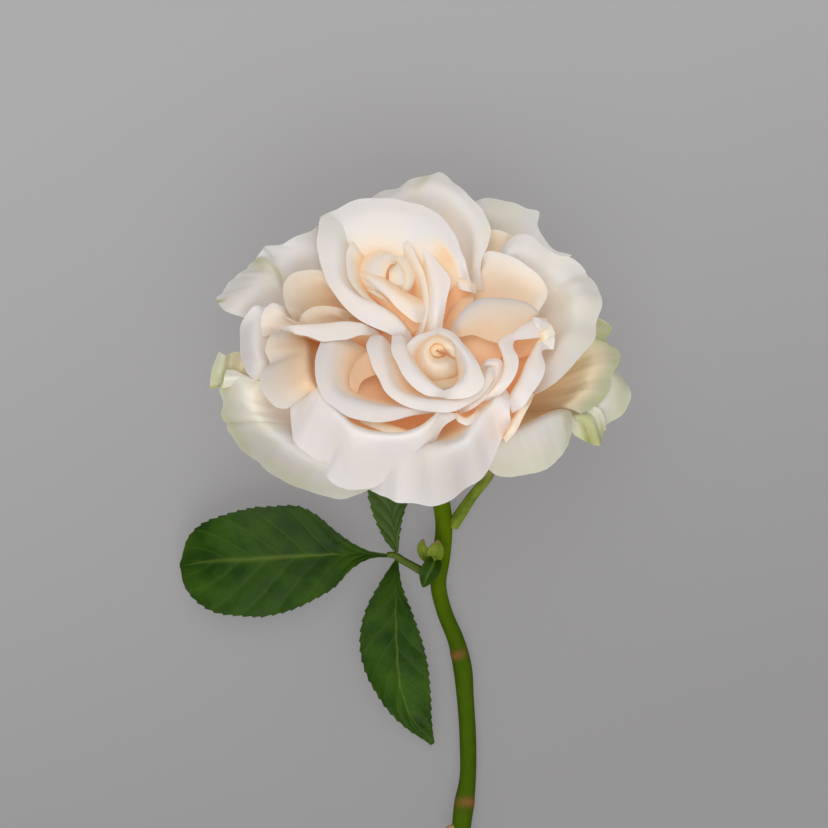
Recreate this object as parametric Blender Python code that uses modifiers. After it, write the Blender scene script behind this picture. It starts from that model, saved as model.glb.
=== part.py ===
"""A cut rose with two hearts, lying on its back on a flat surface with its bloom tilted up.

Run with: blender --background --python part.py

Sizes are millimetres until mesh data is written in metres. The outlines are drawn on a grid, as the
rose is seen from straight above: u runs to the right and v runs down the stem, in steps of GRID.
X is to the right, +Y runs up the rose from the cut end to the bloom, and +Z is up from the surface.
"""

import math
from collections import namedtuple

import bmesh
import bpy
import numpy as np
from mathutils import Vector

# Driving dimensions
BLOOM_WIDTH = 110.0
BLOOM_STEPS = 415.0  # the bloom's width in steps of the drawing grid
GRID = BLOOM_WIDTH / BLOOM_STEPS
GRID_MIDDLE = 414.0  # the grid line, in u and in v, that the drawing looks straight down on
EYE_HEIGHT = 900.0  # the drawing is seen from this height
DRAWN_HEIGHT = 40.0  # the height at which a grid step is GRID
ORIGIN = (-3.45, -87.45)  # the middle of the rose on the surface, from the drawing's middle
MM = 0.001
WELD = 0.01 * MM  # loose points closer than this become one
SHARP = math.radians(40.0)  # faces that meet at more than this have a sharp edge between them

# The bloom's own frame: across, up the bloom's face, and along its axis
TILT = math.radians(50.0)  # the bloom's axis, up from the surface
AXIS_Y = math.cos(TILT)
AXIS_Z = math.sin(TILT)
RECEPTACLE = (3.0, 0.0, 24.5)  # x and y from the drawing's middle, and height
OUTER = (0.0, 0.0, 5.0)
MIDDLE = (0.0, 0.0, 9.0)
INNER = (0.0, 0.0, 15.0)
HIGH_HEART = (-6.0, 13.0, 20.0)
LOW_HEART = (5.0, -12.0, 20.0)

PETAL_THICK = 0.8
PETAL_STEP = 12.0  # about how far apart the points across a petal's edge are
PETAL_COLUMNS = (5, 9)  # the fewest and the most steps across a petal
PETAL_ROWS = 4  # steps from a petal's root to its edge
ROW_SPACING = 0.8  # below 1, a petal's rows lie closer together towards its edge
ROOT_WIDTH = 3.0
# The belly's two rows, as shares of the way from the root to the lowest drawn row: outward and
# upward, each as its value for a flat petal and what a full belly adds to it
BELLY_ROWS = (((0.42, 0.26), (0.36, -0.24)), ((0.80, 0.17), (0.74, -0.16)))
RESTING_PETAL = "ring_back"  # the petal that the bloom rests on, pressed flat on the surface
RESTING_ROWS = 6
PETAL_CLEAR = 1.2  # the others stay this far above the surface
CORE_RADII = (20.0, 23.0, 12.0)
CORE_MIDDLE = 14.0  # the core's middle, along the bloom's axis

Petal = namedtuple("Petal", "name root rows belly")

# The green parts: each point of a line is (u, v, height above the surface)
STEM_TOP = (-14.2, -15.6, -17.2)  # where the stem leaves the hip, along the bloom's axis
STEM_LINE = (
    (432.0, 475.0, 7.4), (437.5, 490.0, 5.4), (442.0, 506.0, 4.1), (444.0, 527.0, 3.3),
    (441.5, 556.0, 2.9), (438.5, 585.0, 2.7), (445.0, 613.0, 2.7), (456.0, 640.0, 2.8),
    (462.0, 664.0, 3.0), (465.5, 700.0, 2.9), (468.0, 745.0, 2.7), (467.5, 780.0, 2.7),
    (464.0, 804.0, 2.9), (461.0, 830.0, 2.9), (459.0, 900.0, 2.8), (464.0, 985.0, 2.9),
    (472.0, 1045.0, 3.1), (474.0, 1120.0, 2.9), (468.0, 1210.0, 2.8), (465.0, 1275.0, 2.75),
)
STEM_RADII = (
    2.8, 2.65, 2.55, 2.45, 2.4, 2.4, 2.35, 2.5, 2.2, 2.15, 2.3, 2.6,
    2.35, 2.3, 2.3, 2.75, 2.6, 2.55, 2.6, 2.95, 2.7, 2.7, 2.75,
)
STEM_STEP = 6.0
# Each prickle: where on the stem it grows, from its top, which way it points, from +X towards +Z,
# and how far it stands out
PRICKLES = (
    (0.478, 20.0, 2.6), (0.520, 350.0, 2.2), (0.497, 160.0, 1.7), (0.655, 205.0, 3.0),
    (0.742, 30.0, 3.2), (0.855, 150.0, 3.0), (0.905, 15.0, 2.8),
)
PRICKLE_RADII = (1.5, 0.75, 0.12)
PRICKLE_SUNK = 0.4  # how deep its root lies, as a share of the stem's radius
PRICKLE_HOOK = 0.9  # how far its point leans down the stem
CUT_SLANT = math.radians(40.0)
CUT_BACK = 2.6  # how far before the end of the stem's line the cut's middle is
CUTTER = 16.0

Leaflet = namedtuple("Leaflet", "name rib upper lower teeth")
LEAFLETS = (
    Leaflet("end_leaflet", (
        (390, 555, 4.6), (350, 554, 6.4), (300, 556, 8.6), (250, 559, 8.8), (212, 561, 7.0), (180, 566, 3.6),
    ), (
        (390, 554, 4.7), (369, 550, 6.2), (350, 541, 8.2), (334, 530, 10.0), (317, 516, 11.4),
        (300, 507, 12.0), (273, 506, 12.0), (248, 508, 11.6), (222, 515, 10.4), (201, 524, 8.8),
        (188, 537, 6.6), (180, 564, 3.8),
    ), (
        (390, 556, 4.7), (371, 558, 5.6), (352, 569, 6.8), (335, 587, 7.6), (314, 600, 8.2),
        (290, 611, 8.4), (262, 617, 8.2), (237, 616, 7.8), (214, 612, 6.8), (198, 602, 5.6),
        (186, 588, 4.6), (180, 568, 3.4),
    ), 13),
    Leaflet("low_leaflet", (
        (396, 560, 4.4), (396, 600, 6.0), (397, 650, 6.6), (401, 690, 5.6), (414, 722, 4.2), (433, 744, 2.6),
    ), (
        (395, 560, 4.5), (379, 584, 6.2), (368, 604, 7.4), (361, 628, 8.2), (360, 648, 8.4),
        (365, 672, 8.0), (375, 692, 7.0), (388, 711, 5.8), (406, 728, 4.4), (432, 744, 2.8),
    ), (
        (397, 560, 4.5), (402, 586, 5.4), (412, 612, 6.2), (422, 640, 6.8), (428, 666, 6.6),
        (431, 696, 5.6), (432, 724, 4.0), (434, 743, 2.8),
    ), 11),
    Leaflet("high_leaflet", (
        (396, 552, 4.4), (393, 520, 4.8), (389, 490, 5.0), (386, 460, 4.8), (386, 430, 4.2), (388, 405, 3.4),
    ), (
        (395, 552, 4.5), (384, 539, 5.2), (375, 520, 5.8), (369, 498, 6.2), (366, 470, 6.2),
        (368, 442, 5.6), (375, 418, 4.6), (387, 405, 3.6),
    ), (
        (397, 552, 4.5), (400, 535, 4.9), (403, 518, 5.4), (408, 500, 5.8), (409, 475, 5.8),
        (405, 447, 5.2), (398, 422, 4.4), (389, 405, 3.6),
    ), 9),
)
LEAF_THICK = 0.7
TOOTH = 0.7  # how far a tooth of the leaf's edge stands out
TOOTH_FADE = 6.0  # the teeth fade out over one part in this many at the leaflet's base and at its tip
PETIOLE_LINE = (
    (387, 554.5, 5.0), (395, 555.5, 4.7), (402, 560, 4.5), (411, 565, 4.4), (419, 569.5, 4.2),
    (427.5, 574, 4.0),
)
PETIOLE_RADII = (0.75, 1.0, 1.05, 1.1, 1.2, 1.6)

SIDE_SHOOT_LINE = (
    (457.5, 525, 4.1), (461, 519, 4.8), (467, 509, 6.6), (473, 500, 8.6), (480, 490, 10.6),
    (486, 481, 12.4), (489, 472, 14.0), (490, 462, 15.4),
)
SIDE_SHOOT_RADII = (1.25, 1.3, 1.3, 1.25, 1.2, 1.2, 1.5, 1.7)
SIDE_BUD = ((490.5, 456, 17.0), (2.6, 3.8, 2.8))

# Small leaves where the big leaf leaves the stem: their rib and half their width
AXIL_BUD = ((434.0, 558.0, 6.55), (1.9, 2.6, 1.5))
AXIL_LEAVES = (
    ("axil_stipule", ((430, 562, 6.4), (425, 555, 7.4), (422, 548, 7.8), (423, 539, 7.2)), 1.5),
    ("axil_round_leaf", ((432, 562, 6.8), (435, 554, 8.2), (437, 547, 8.8), (438, 540, 8.2)), 2.3),
    ("axil_folded_leaf", ((436, 556, 7.0), (433, 565, 9.2), (428, 575, 9.4), (423, 587, 7.0)), 2.6),
)
SMALL_LEAF_SPAN = (0.12, 0.98)  # the share of a half wave that a small leaf's outline follows
SMALL_LEAF_BLUNT = 0.8  # below 1, its ends are blunter
SMALL_LEAF_FOLD = 0.35  # how far its sides are folded up, as a share of their width

# The hip under the petals, as (radius, height) along the bloom's axis, and its five sepals
HIP_PROFILE = (
    (2.9, -13.6), (3.2, -12.0), (4.6, -10.0), (5.7, -7.0), (5.8, -4.0), (5.2, -1.6), (6.0, 0.4),
    (6.6, 1.2),
)
HIP_POLE = 0.1 * MM  # the hip's ends close to one point within this
SEPALS = 5
SEPAL_FIRST = math.radians(90.0)
SEPAL_LINE = ((4.6, -1.2), (8.0, -2.2), (12.0, -4.2), (15.5, -7.4), (17.5, -11.0))
SEPAL_HALF = 3.4
SEPAL_TAPER = 1.6  # above 1, a sepal keeps its width longer before it narrows
SEPAL_TIP = 0.35
SEPAL_CURL = 0.05
SEPAL_THICK = 0.8
HIP_SIDES = 16

# The outer ring: root, the middle's angle, half the spread, and crest and edge as (radius, height)
RING_ROUND = 0.16
RING_PETALS = (
    ("ring_back", OUTER, 92.0, 40.0, (49.5, 8.5), (56.0, 12.0)),
    ("ring_back_left", MIDDLE, 146.0, 34.0, (44.0, 22.0), (49.0, 14.0)),
    ("ring_back_right", MIDDLE, 36.0, 34.0, (44.0, 22.0), (49.0, 14.0)),
    ("ring_front", OUTER, 270.0, 38.0, (29.0, 11.0), (33.0, 7.0)),
)

# Each row is drawn from left to right as (u, v, height along the bloom's axis), lowest row first.
# The last row is the free edge, and the row before it is the crest that the petal rolls over.
HIGH_HEART_PETALS = (
    Petal("high_bud_right", HIGH_HEART, (
        ((398, 299, 32), (408, 293, 33), (414, 282, 33.5), (413, 268, 33.5), (405, 256, 33.5),
         (393, 249, 33)),
        ((397, 295, 36.5), (406, 289, 38), (410, 280, 38.6), (409, 269, 38.8), (403, 259, 38.8),
         (393, 254, 38)),
        ((396, 291, 37.5), (402, 287, 39), (405, 280, 39.8), (404, 271, 40.2), (399, 263, 40.4),
         (393, 260, 40)),
    ), 0.0),
    Petal("high_bud_left", HIGH_HEART, (
        ((403, 250, 33), (385, 246, 33.5), (369, 251, 33.5), (359, 262, 33), (357, 275, 32), (363, 287, 32),
         (377, 294, 32), (393, 297, 32)),
        ((400, 256, 38), (386, 252, 38.7), (374, 256, 39), (366, 266, 39), (364, 277, 38.6), (369, 286, 38),
         (380, 291, 37.5), (392, 294, 37)),
        ((397, 261, 40), (388, 258, 40.8), (380, 261, 41.2), (375, 269, 41.2), (374, 277, 41),
         (378, 283, 40.4), (384, 288, 39.4), (392, 291, 38.4)),
        ((394, 264, 40.2), (390, 265, 40.6), (388, 268, 40.6), (386, 273, 40.4), (385.5, 278, 40),
         (386.5, 282, 39.6), (389, 286, 38.8), (391, 289, 38)),
    ), 0.0),
    Petal("high_bar", HIGH_HEART, (
        ((359, 271, 38), (371, 273, 39.5), (381, 277, 40), (391, 283, 40), (403, 291, 39.5),
         (415, 297, 38.5), (427, 303, 37)),
        ((361, 277, 40), (372, 279, 41.5), (382, 283, 42.3), (391, 289, 42.3), (402, 297, 41.8),
         (414, 304, 40.6), (427, 311, 39)),
        ((370, 284, 39.8), (377, 288, 41), (385, 293, 41.8), (393, 301, 41.6), (403, 309, 40.8),
         (413, 316, 39.8), (426, 319, 38)),
        ((376, 289, 38.5), (382, 293, 39.5), (389, 299, 40), (396, 307, 39.8), (405, 315, 39),
         (413, 321, 38), (425, 323, 36.6)),
    ), 0.2),
    Petal("high_left_rim", HIGH_HEART, (
        ((386, 312, 34), (375, 303, 36), (366, 295.5, 38), (358, 288, 39), (351.5, 278, 39.8),
         (349, 265, 40.3), (349, 253, 40.8), (352, 246.5, 41), (358, 243.5, 41)),
        ((384, 314, 33.4), (373, 305, 35.4), (364, 297.5, 37.4), (356, 289.5, 38.4), (349, 279, 39.2),
         (346.5, 266, 39.7), (346.5, 252, 40.2), (350, 244.5, 40.4), (357, 241, 40.4)),
    ), 0.3),
    Petal("high_right_rim", HIGH_HEART, (
        ((397, 235, 40), (405, 243, 41), (411, 252, 41), (416, 262, 40.8), (421, 272, 40.2), (424, 284, 39.4),
         (425.5, 298, 38.5), (425, 312, 37.3), (422, 326, 35.8), (418, 337, 34)),
        ((398, 232, 39.6), (407, 240, 40.6), (413.5, 250, 40.6), (418.5, 261, 40.4), (423.5, 271, 39.8),
         (427, 284, 39), (428.5, 298, 38.1), (428, 312, 36.9), (425, 327, 35.3), (420, 339, 33.4)),
    ), 0.3),
    Petal("high_column", HIGH_HEART, (
        ((412, 240, 37), (420, 252, 38), (424, 268, 38), (427, 284, 37.8), (428, 300, 37.4), (428, 318, 36.4),
         (427, 336, 35)),
        ((413, 237, 40.5), (423, 246, 41), (428, 260, 41), (433, 276, 41), (436, 294, 40.6),
         (436, 314, 39.4), (434, 336, 37)),
        ((414, 235.5, 40), (425, 240.5, 40.6), (431, 253, 40.6), (441, 266, 40.2), (450, 279, 39.4),
         (446, 302, 38.4), (442, 334, 35.5)),
    ), 0.3),
    Petal("high_front_band", HIGH_HEART, (
        ((340, 228, 41.5), (337.5, 243, 42), (337, 260, 42), (340, 278, 41.6), (347, 289, 41.2),
         (360, 297.5, 40.6), (374, 303, 40.3), (385, 309, 39.7), (396, 317, 38.7), (404, 327, 37.4),
         (411, 338, 35.6)),
        ((321, 216, 40), (318, 231, 40.5), (317.5, 248, 40.3), (321, 266, 39.8), (327, 282, 39),
         (335, 299, 38.3), (345, 313, 37.8), (360, 323, 37), (383, 331, 36.3), (407, 342, 34.6)),
    ), 0.4),
    Petal("high_arch", HIGH_HEART, (
        ((345, 262, 34), (348, 248, 36), (360, 240, 37), (380, 238, 37.5), (398, 240, 37.5),
         (412, 250, 37), (424, 262, 36.5), (436, 272, 36.5), (448, 281, 36.5), (458, 292, 35)),
        ((336, 244, 39.5), (341, 231, 41.5), (356, 223, 43.5), (378, 220, 44.5), (400, 223, 44.5),
         (418, 231, 44), (433, 243, 43.3), (445, 256, 42.2), (455, 270, 40.7), (464, 287, 38.2)),
        ((320, 217, 39), (328, 213, 40.5), (336, 210, 42), (351, 201, 44), (374, 198, 45.5),
         (401, 200.5, 45.5), (424, 206.5, 45), (440, 216, 44.3), (450, 227, 43.5), (458, 242, 42.5),
         (464, 258, 41.2), (469, 275, 39.5), (474, 291, 37)),
    ), 0.5),
)

LOW_HEART_PETALS = (
    Petal("low_bud_right", LOW_HEART, (
        ((411, 352, 33), (414, 368, 33.5), (425, 381, 33.5), (440, 389, 33.5), (456, 386, 33.5),
         (466, 374, 33.5), (468, 358, 33)),
        ((415, 352, 37), (418, 365, 38.2), (427, 374.5, 38.8), (440, 379.5, 39), (454, 377.5, 38.8),
         (463, 368, 38.2), (465, 357, 37)),
    ), 0.0),
    Petal("low_bud_left", LOW_HEART, (
        ((467, 362, 32), (460, 343, 32.5), (448, 334, 33), (434, 331, 33), (420, 341, 33), (414, 358, 33),
         (420, 376, 32.5), (438, 385, 32.5), (456, 380, 32.5), (466, 368, 32)),
        ((460, 359, 37.5), (455, 346, 38.3), (446, 338, 38.6), (435, 336, 38.6), (424, 343, 38.4),
         (419.5, 356, 38), (424, 368, 37.6), (437, 375, 37.2), (451, 372, 37.2), (459, 364, 37.3)),
        ((453, 356, 40.3), (450, 347, 41), (443, 341, 41.3), (435, 340.5, 41.3), (428, 345, 41),
         (426, 354, 40.7), (430, 362, 40.2), (438, 366, 39.9), (447, 364, 39.9), (452, 359, 40.1)),
        ((446, 352, 40.6), (444.5, 347, 41.2), (440, 343.5, 41.4), (435, 343, 41.4), (431, 346, 41.2),
         (429.5, 351, 41), (432, 356, 40.6), (437, 358.5, 40.3), (443, 357.5, 40.3), (446, 354.5, 40.5)),
    ), 0.0),
    Petal("low_right_lip", LOW_HEART, (
        ((431, 334, 38.5), (440, 332.5, 39.6), (450, 337, 40.6), (459, 346, 41.2), (465, 356, 41.3),
         (467.5, 368, 41), (464, 379, 40.2), (454, 388, 39), (440, 391.5, 37.6)),
        ((430, 330, 37.3), (440, 328, 38.4), (452, 332.5, 39.4), (463, 343, 40), (473, 356, 40.2),
         (481, 369, 40), (484, 380, 39.6), (480, 390, 38.8), (469, 397.5, 37.8), (455, 399, 37),
         (440, 397, 36)),
    ), 0.2),
    Petal("low_left_lip", LOW_HEART, (
        ((401, 336, 38), (403, 346, 39), (408, 357, 39.8), (415, 368, 39.8), (424, 378, 39.4),
         (434, 386, 38.8), (445, 391.5, 37.8)),
        ((392, 337, 37), (391.5, 349, 38), (396, 362, 38.6), (403, 375, 38.6), (413, 387, 38),
         (427, 395, 37.2), (444, 398.5, 36)),
    ), 0.2),
    Petal("low_back_rim", LOW_HEART, (
        ((409, 366, 36.5), (408.5, 354, 37.5), (411, 345, 38), (418, 339, 38.3), (428, 336, 38.4),
         (440, 333, 38), (452, 336, 37)),
        ((406, 366, 36), (405.5, 353, 37), (408, 343, 37.5), (416, 336, 37.8), (427, 332.5, 37.9),
         (440, 329.5, 37.4), (454, 333, 36.4)),
    ), 0.2),
    Petal("low_ring", LOW_HEART, (
        ((381, 336, 37), (380, 346, 38), (382.5, 360, 38.6), (386, 375, 38.6), (391, 386, 38.3),
         (401, 394.5, 38), (416, 399.5, 37.5), (437, 401.5, 37), (455, 400.5, 37), (468, 395, 37.4),
         (480, 386, 37.8), (488, 375, 38), (492, 366, 38)),
        ((371, 336, 36), (366.5, 346, 37), (370, 360, 37.6), (377, 376, 37.6), (385, 391, 37),
         (396, 401, 36.5), (415, 409.5, 35.8), (438, 412, 35.3), (456, 410.5, 35.3), (470, 403.5, 35.7),
         (483, 394, 36.2), (492, 382, 36.8), (497, 369, 37)),
    ), 0.3),
    Petal("low_ring_right", LOW_HEART, (
        ((482, 368, 37), (489, 363, 38), (497, 364, 38), (497, 374, 37.5), (491, 386, 37), (482, 396, 36),
         (470, 405, 35), (459, 411, 34)),
        ((482, 364, 36), (490, 359, 37), (501, 360, 37), (502, 373, 36.5), (495, 388, 35.5),
         (485, 399, 35), (472, 409, 34), (459, 415, 33)),
    ), 0.3),
    Petal("low_big_inner", (-14.0, -6.0, 20.0), (
        ((352, 398, 35.5), (349.5, 384, 36.5), (351, 371, 37), (358, 359, 37.2), (370, 350, 37),
         (383, 345, 36)),
        ((359, 402, 33), (358, 391, 34), (361.5, 382.5, 34.8), (369, 377, 35), (379, 374, 34.5),
         (388, 372, 33.5)),
    ), 0.2),
    Petal("low_big_left", LOW_HEART, (
        ((342, 336, 36.5), (331, 341, 38), (326, 352, 38.6), (324, 366, 38.6), (325, 380, 38.4),
         (331, 391, 38), (343, 399, 37.6), (360, 404, 37.2), (380, 407.5, 36.8), (402, 409, 36.3),
         (420, 409.5, 35.6), (438, 411, 34.6)),
        ((334, 331, 35), (322, 340, 36.4), (316, 355, 37), (315, 373, 36.8), (318, 388, 36.2),
         (326, 401, 35.6), (338, 411, 35.2), (352, 418, 34.8), (370, 422, 34.3), (391, 421, 34),
         (412, 416, 33.8), (437, 413, 33.4)),
    ), 0.4),
    Petal("low_thin_front", LOW_HEART, (
        ((338, 404, 33.5), (348, 414, 34), (362, 422, 34.5), (378, 427, 34.5), (394, 430, 34.5),
         (409, 430, 34.5), (425, 424, 34.5), (440, 414, 34.5)),
        ((336, 407, 32.5), (346, 418, 33), (361, 426, 33.5), (378, 431, 33.5), (395, 435, 33.5),
         (411, 434, 33.5), (428, 428, 33.5), (444, 416, 33.5)),
    ), 0.4),
)

FRONT_PETALS = (
    Petal("front_left", MIDDLE, (
        ((303, 389, 33), (316, 391, 35), (328, 403, 35.8), (345, 418, 35.8), (364, 428, 35.8),
         (386, 434, 35.8), (405, 436, 36), (421, 431, 36.5), (434, 422, 37), (446, 411, 37)),
        ((293, 394, 30), (290, 406, 27), (292, 425, 23), (297, 450, 19.5), (306, 459, 17.5),
         (317, 467, 16), (323, 473, 15), (331, 483, 13), (346, 488.5, 11.5), (367, 488, 12),
         (396, 476, 17), (418, 464, 22), (431, 450, 27), (443, 430, 32), (460, 414, 35)),
    ), 0.7),
    Petal("front_right", MIDDLE, (
        ((372, 440, 24), (392, 443, 26), (414, 447, 29), (436, 447, 32.5), (452, 444, 34.5),
         (465, 438, 35.5), (475, 425, 36), (486, 412, 36), (497, 399, 36), (505, 388, 36)),
        ((364, 487, 8), (374, 491, 9), (384, 498, 10), (396, 502.5, 11), (418, 504, 12), (438, 503, 13.2),
         (452, 497, 14.5), (466, 488, 16), (481, 479, 18), (489, 466, 20), (497, 450, 24),
         (505, 434, 28), (510, 416, 31.5), (511, 399, 34)),
    ), 0.7),
)

RIGHT_PETALS = (
    Petal("back_tall", MIDDLE, (
        ((372, 212, 37), (386, 202, 39.5), (404, 195, 41), (422, 189, 42), (441, 187, 42),
         (457, 196, 41.5), (469, 210, 41), (477, 227, 40), (478, 245, 39), (476, 264, 37.5),
         (474, 290, 35)),
        ((372, 199, 37), (384, 190.5, 39.5), (400, 187, 41), (409, 180, 42), (421, 176, 42.5),
         (431, 175.5, 42.5), (440, 172.5, 42.5), (446, 175, 42.3), (454, 185, 42), (474, 199, 41),
         (484, 211, 40), (489, 226, 39), (488.5, 245, 38), (482, 260, 37), (480, 275, 36),
         (484, 291, 34.5)),
    ), 0.8),
    Petal("back_right_pale", MIDDLE, (
        ((466, 222, 33), (480, 212, 34.5), (498, 212, 35), (514, 217, 34.5), (527, 226, 34),
         (534, 240, 33), (545, 252, 31.5), (560, 264, 30)),
        ((466, 208, 32.5), (480, 200, 33.5), (497, 199, 34), (512, 203, 33.8), (526, 208, 33.2),
         (538, 210, 32.5), (538, 225, 31.8), (541, 234, 31.2), (550, 247, 30), (571, 256, 28)),
    ), 0.9),
    Petal("back_small_peach", INNER, (
        ((478, 246, 36), (486, 237, 37), (497, 235, 37), (507, 239, 36.5), (512, 246, 35.5)),
        ((477, 240, 35), (486, 231, 36), (498, 230, 36), (510, 235, 35.5), (517, 243, 34.5)),
    ), 0.8),
    Petal("right_big", MIDDLE, (
        ((497, 264, 38), (506, 255, 39.5), (520, 251, 40), (536, 256, 40), (551, 265, 39.5),
         (566, 276, 38.5), (575, 290, 37.5), (578, 305, 36.5), (576, 320, 35.5), (569, 335, 34.5),
         (558, 350, 33), (547, 367, 31.5), (533, 388, 30)),
        ((496, 253, 37), (505, 243, 38), (514, 237, 38.3), (524, 236, 38.3), (534, 239, 38),
         (544, 246, 37.3), (556, 254, 36), (569, 257, 35), (579, 264, 34), (589, 274, 33),
         (597, 287, 32), (601, 300, 31.4), (598, 316, 31), (597, 331, 30.5), (591, 346, 30),
         (578, 357, 29.7), (568, 371, 29), (556, 384, 28.5), (535, 393, 28)),
    ), 0.8),
    Petal("right_cup", INNER, (
        ((482, 268, 37), (488, 259, 39), (501, 259, 40), (514, 264, 40), (526, 272, 39.5),
         (536, 281, 39), (541, 291, 38.5), (539, 301, 38), (533, 310, 37.5), (532, 321, 36)),
        ((480, 263, 36), (487, 252, 38), (502, 253, 39), (517, 259, 39), (531, 269, 38.5),
         (543, 281, 38), (547, 293, 37.5), (544, 304, 37), (538, 313, 36.5), (537, 322, 35)),
    ), 0.7),
    Petal("right_fold", INNER, (
        ((452, 331, 37), (458, 319, 38), (466, 308, 39), (478, 300, 39.7), (495, 298.5, 40.3),
         (512, 299.5, 40.3), (527, 303, 39.8), (536, 310, 38.8), (538, 320, 37)),
        ((453, 338, 35.8), (462, 337, 37), (472, 335, 38), (485, 339, 38.2), (500, 343, 38.4),
         (511, 336, 38.4), (521, 328, 38), (530, 322, 37.5), (539, 323, 36)),
    ), 0.7),
    Petal("right_curl", INNER, (
        ((548, 323, 36), (534, 321, 38), (520, 325, 39.5), (508, 335, 40), (502, 345, 40.5),
         (506, 357, 40.5), (508, 367, 40), (505, 379, 39), (498, 391, 37.5)),
        ((556, 332, 34), (541, 333, 36), (526, 335, 38), (515, 340, 39), (512, 348, 39.5),
         (517, 358, 39.5), (519, 369, 38.5), (514, 382, 37), (505, 393, 35.5)),
    ), 0.6),
    Petal("right_second_curl", INNER, (
        ((548, 340, 36), (539, 348, 37.5), (535, 358, 38), (531, 369, 38), (525, 381, 37.5),
         (518, 392, 36.5), (509, 402, 35)),
        ((555, 347, 34), (546, 354, 35.8), (545, 365, 36), (543, 377, 35.5), (536, 390, 34.5),
         (526, 402, 33.5), (512, 412, 32.5)),
    ), 0.7),
    Petal("right_knob", INNER, (
        ((530, 331, 36.5), (536, 325, 38.3), (545, 328, 38.8), (548, 339, 38), (543, 350, 36.5)),
        ((528, 325, 36.3), (538, 317.5, 38.2), (550, 324, 38.8), (556, 336, 37.8), (550, 350, 36.2)),
    ), 0.6),
    Petal("right_outer", INNER, (
        ((506, 390, 37.5), (510, 402, 37.3), (510, 415, 36.5), (508, 428, 35), (502, 441, 32)),
        ((512, 397, 36.5), (516, 408, 36), (515, 420, 35), (511, 432, 33.5), (504, 444, 30.5)),
    ), 0.6),
)

LEFT_PETALS = (
    Petal("left_back", MIDDLE, (
        ((330, 240, 36), (315, 247, 37), (300, 253, 37), (285, 259, 36), (275, 268, 34.5),
         (267, 281, 32.5), (258, 294, 30.5), (250, 304, 29), (258, 315, 28)),
        ((326, 224, 35), (317, 229, 35), (300, 238, 34.5), (283, 243, 33.5), (266, 247, 32),
         (260, 254, 30.5), (255, 262, 29.5), (245, 269, 28.3), (235, 278, 27), (227, 288, 26),
         (221, 298, 25), (219, 305, 24.5), (227, 312, 24.5), (246, 318, 26)),
    ), 0.8),
    Petal("left_peach", INNER, (
        ((300, 322, 34), (292, 309, 36), (289, 297, 37), (291, 286, 38), (299, 279, 38.5), (312, 276, 39),
         (326, 278, 38.5), (338, 286, 37)),
        ((296, 322, 33), (287, 309, 35), (283, 296, 36), (284, 283, 37), (293, 274, 37.5),
         (307, 270, 38), (324, 271, 37.5), (340, 279, 36)),
    ), 0.7),
    Petal("left_peach_inner", INNER, (
        ((302, 328, 35), (305, 319, 36.5), (312, 313, 37), (324, 310, 37), (338, 312, 36.5),
         (350, 318, 35)),
        ((297, 325, 34.5), (302, 315, 36), (311, 308, 36.5), (325, 306, 36.5), (340, 308, 36),
         (353, 316, 34.5)),
    ), 0.6),
    Petal("left_blade", (-6.0, 0.0, 18.0), (
        ((279, 327, 37.5), (292, 326, 39), (309, 325, 39.5), (328, 323.5, 39.5), (346, 322, 39),
         (362, 324, 38), (376, 331, 36)),
        ((281, 330, 36.5), (295, 333, 37.5), (310, 338, 38), (326, 341.5, 38), (346, 339, 37.5),
         (362, 336, 36.5), (376, 333, 35)),
    ), 0.6),
    Petal("left_knob", INNER, (
        ((292, 322, 33), (284, 315, 35), (276, 311, 35.5), (270, 315, 35), (268, 324, 34),
         (271, 335, 33)),
        ((291, 314, 33), (282, 306, 34.5), (273, 303, 35), (264, 309, 34), (261, 322, 33),
         (264, 337, 32)),
    ), 0.7),
    Petal("left_side", MIDDLE, (
        ((280, 316, 31), (267, 316, 32), (259, 324, 32), (256, 337, 31.5), (257, 351, 31),
         (262, 364, 30), (270, 376, 29)),
        ((272, 308, 29), (254, 307, 28.5), (245, 316, 27.5), (240, 331, 26), (239, 348, 25),
         (243, 366, 24.5), (255, 382, 25)),
    ), 0.8),
    Petal("left_lobes", INNER, (
        ((300, 336, 37.5), (303, 347, 38), (304.5, 359, 38), (305.5, 371, 37.6), (309, 382, 37),
         (318, 391, 36)),
        ((281, 329, 36), (270, 335, 34.8), (265, 350, 33.4), (270, 365, 31.8), (262, 371, 30.6),
         (261, 385, 29), (276, 406, 27), (286, 408, 27), (300, 398, 30)),
    ), 0.7),
)

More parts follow.
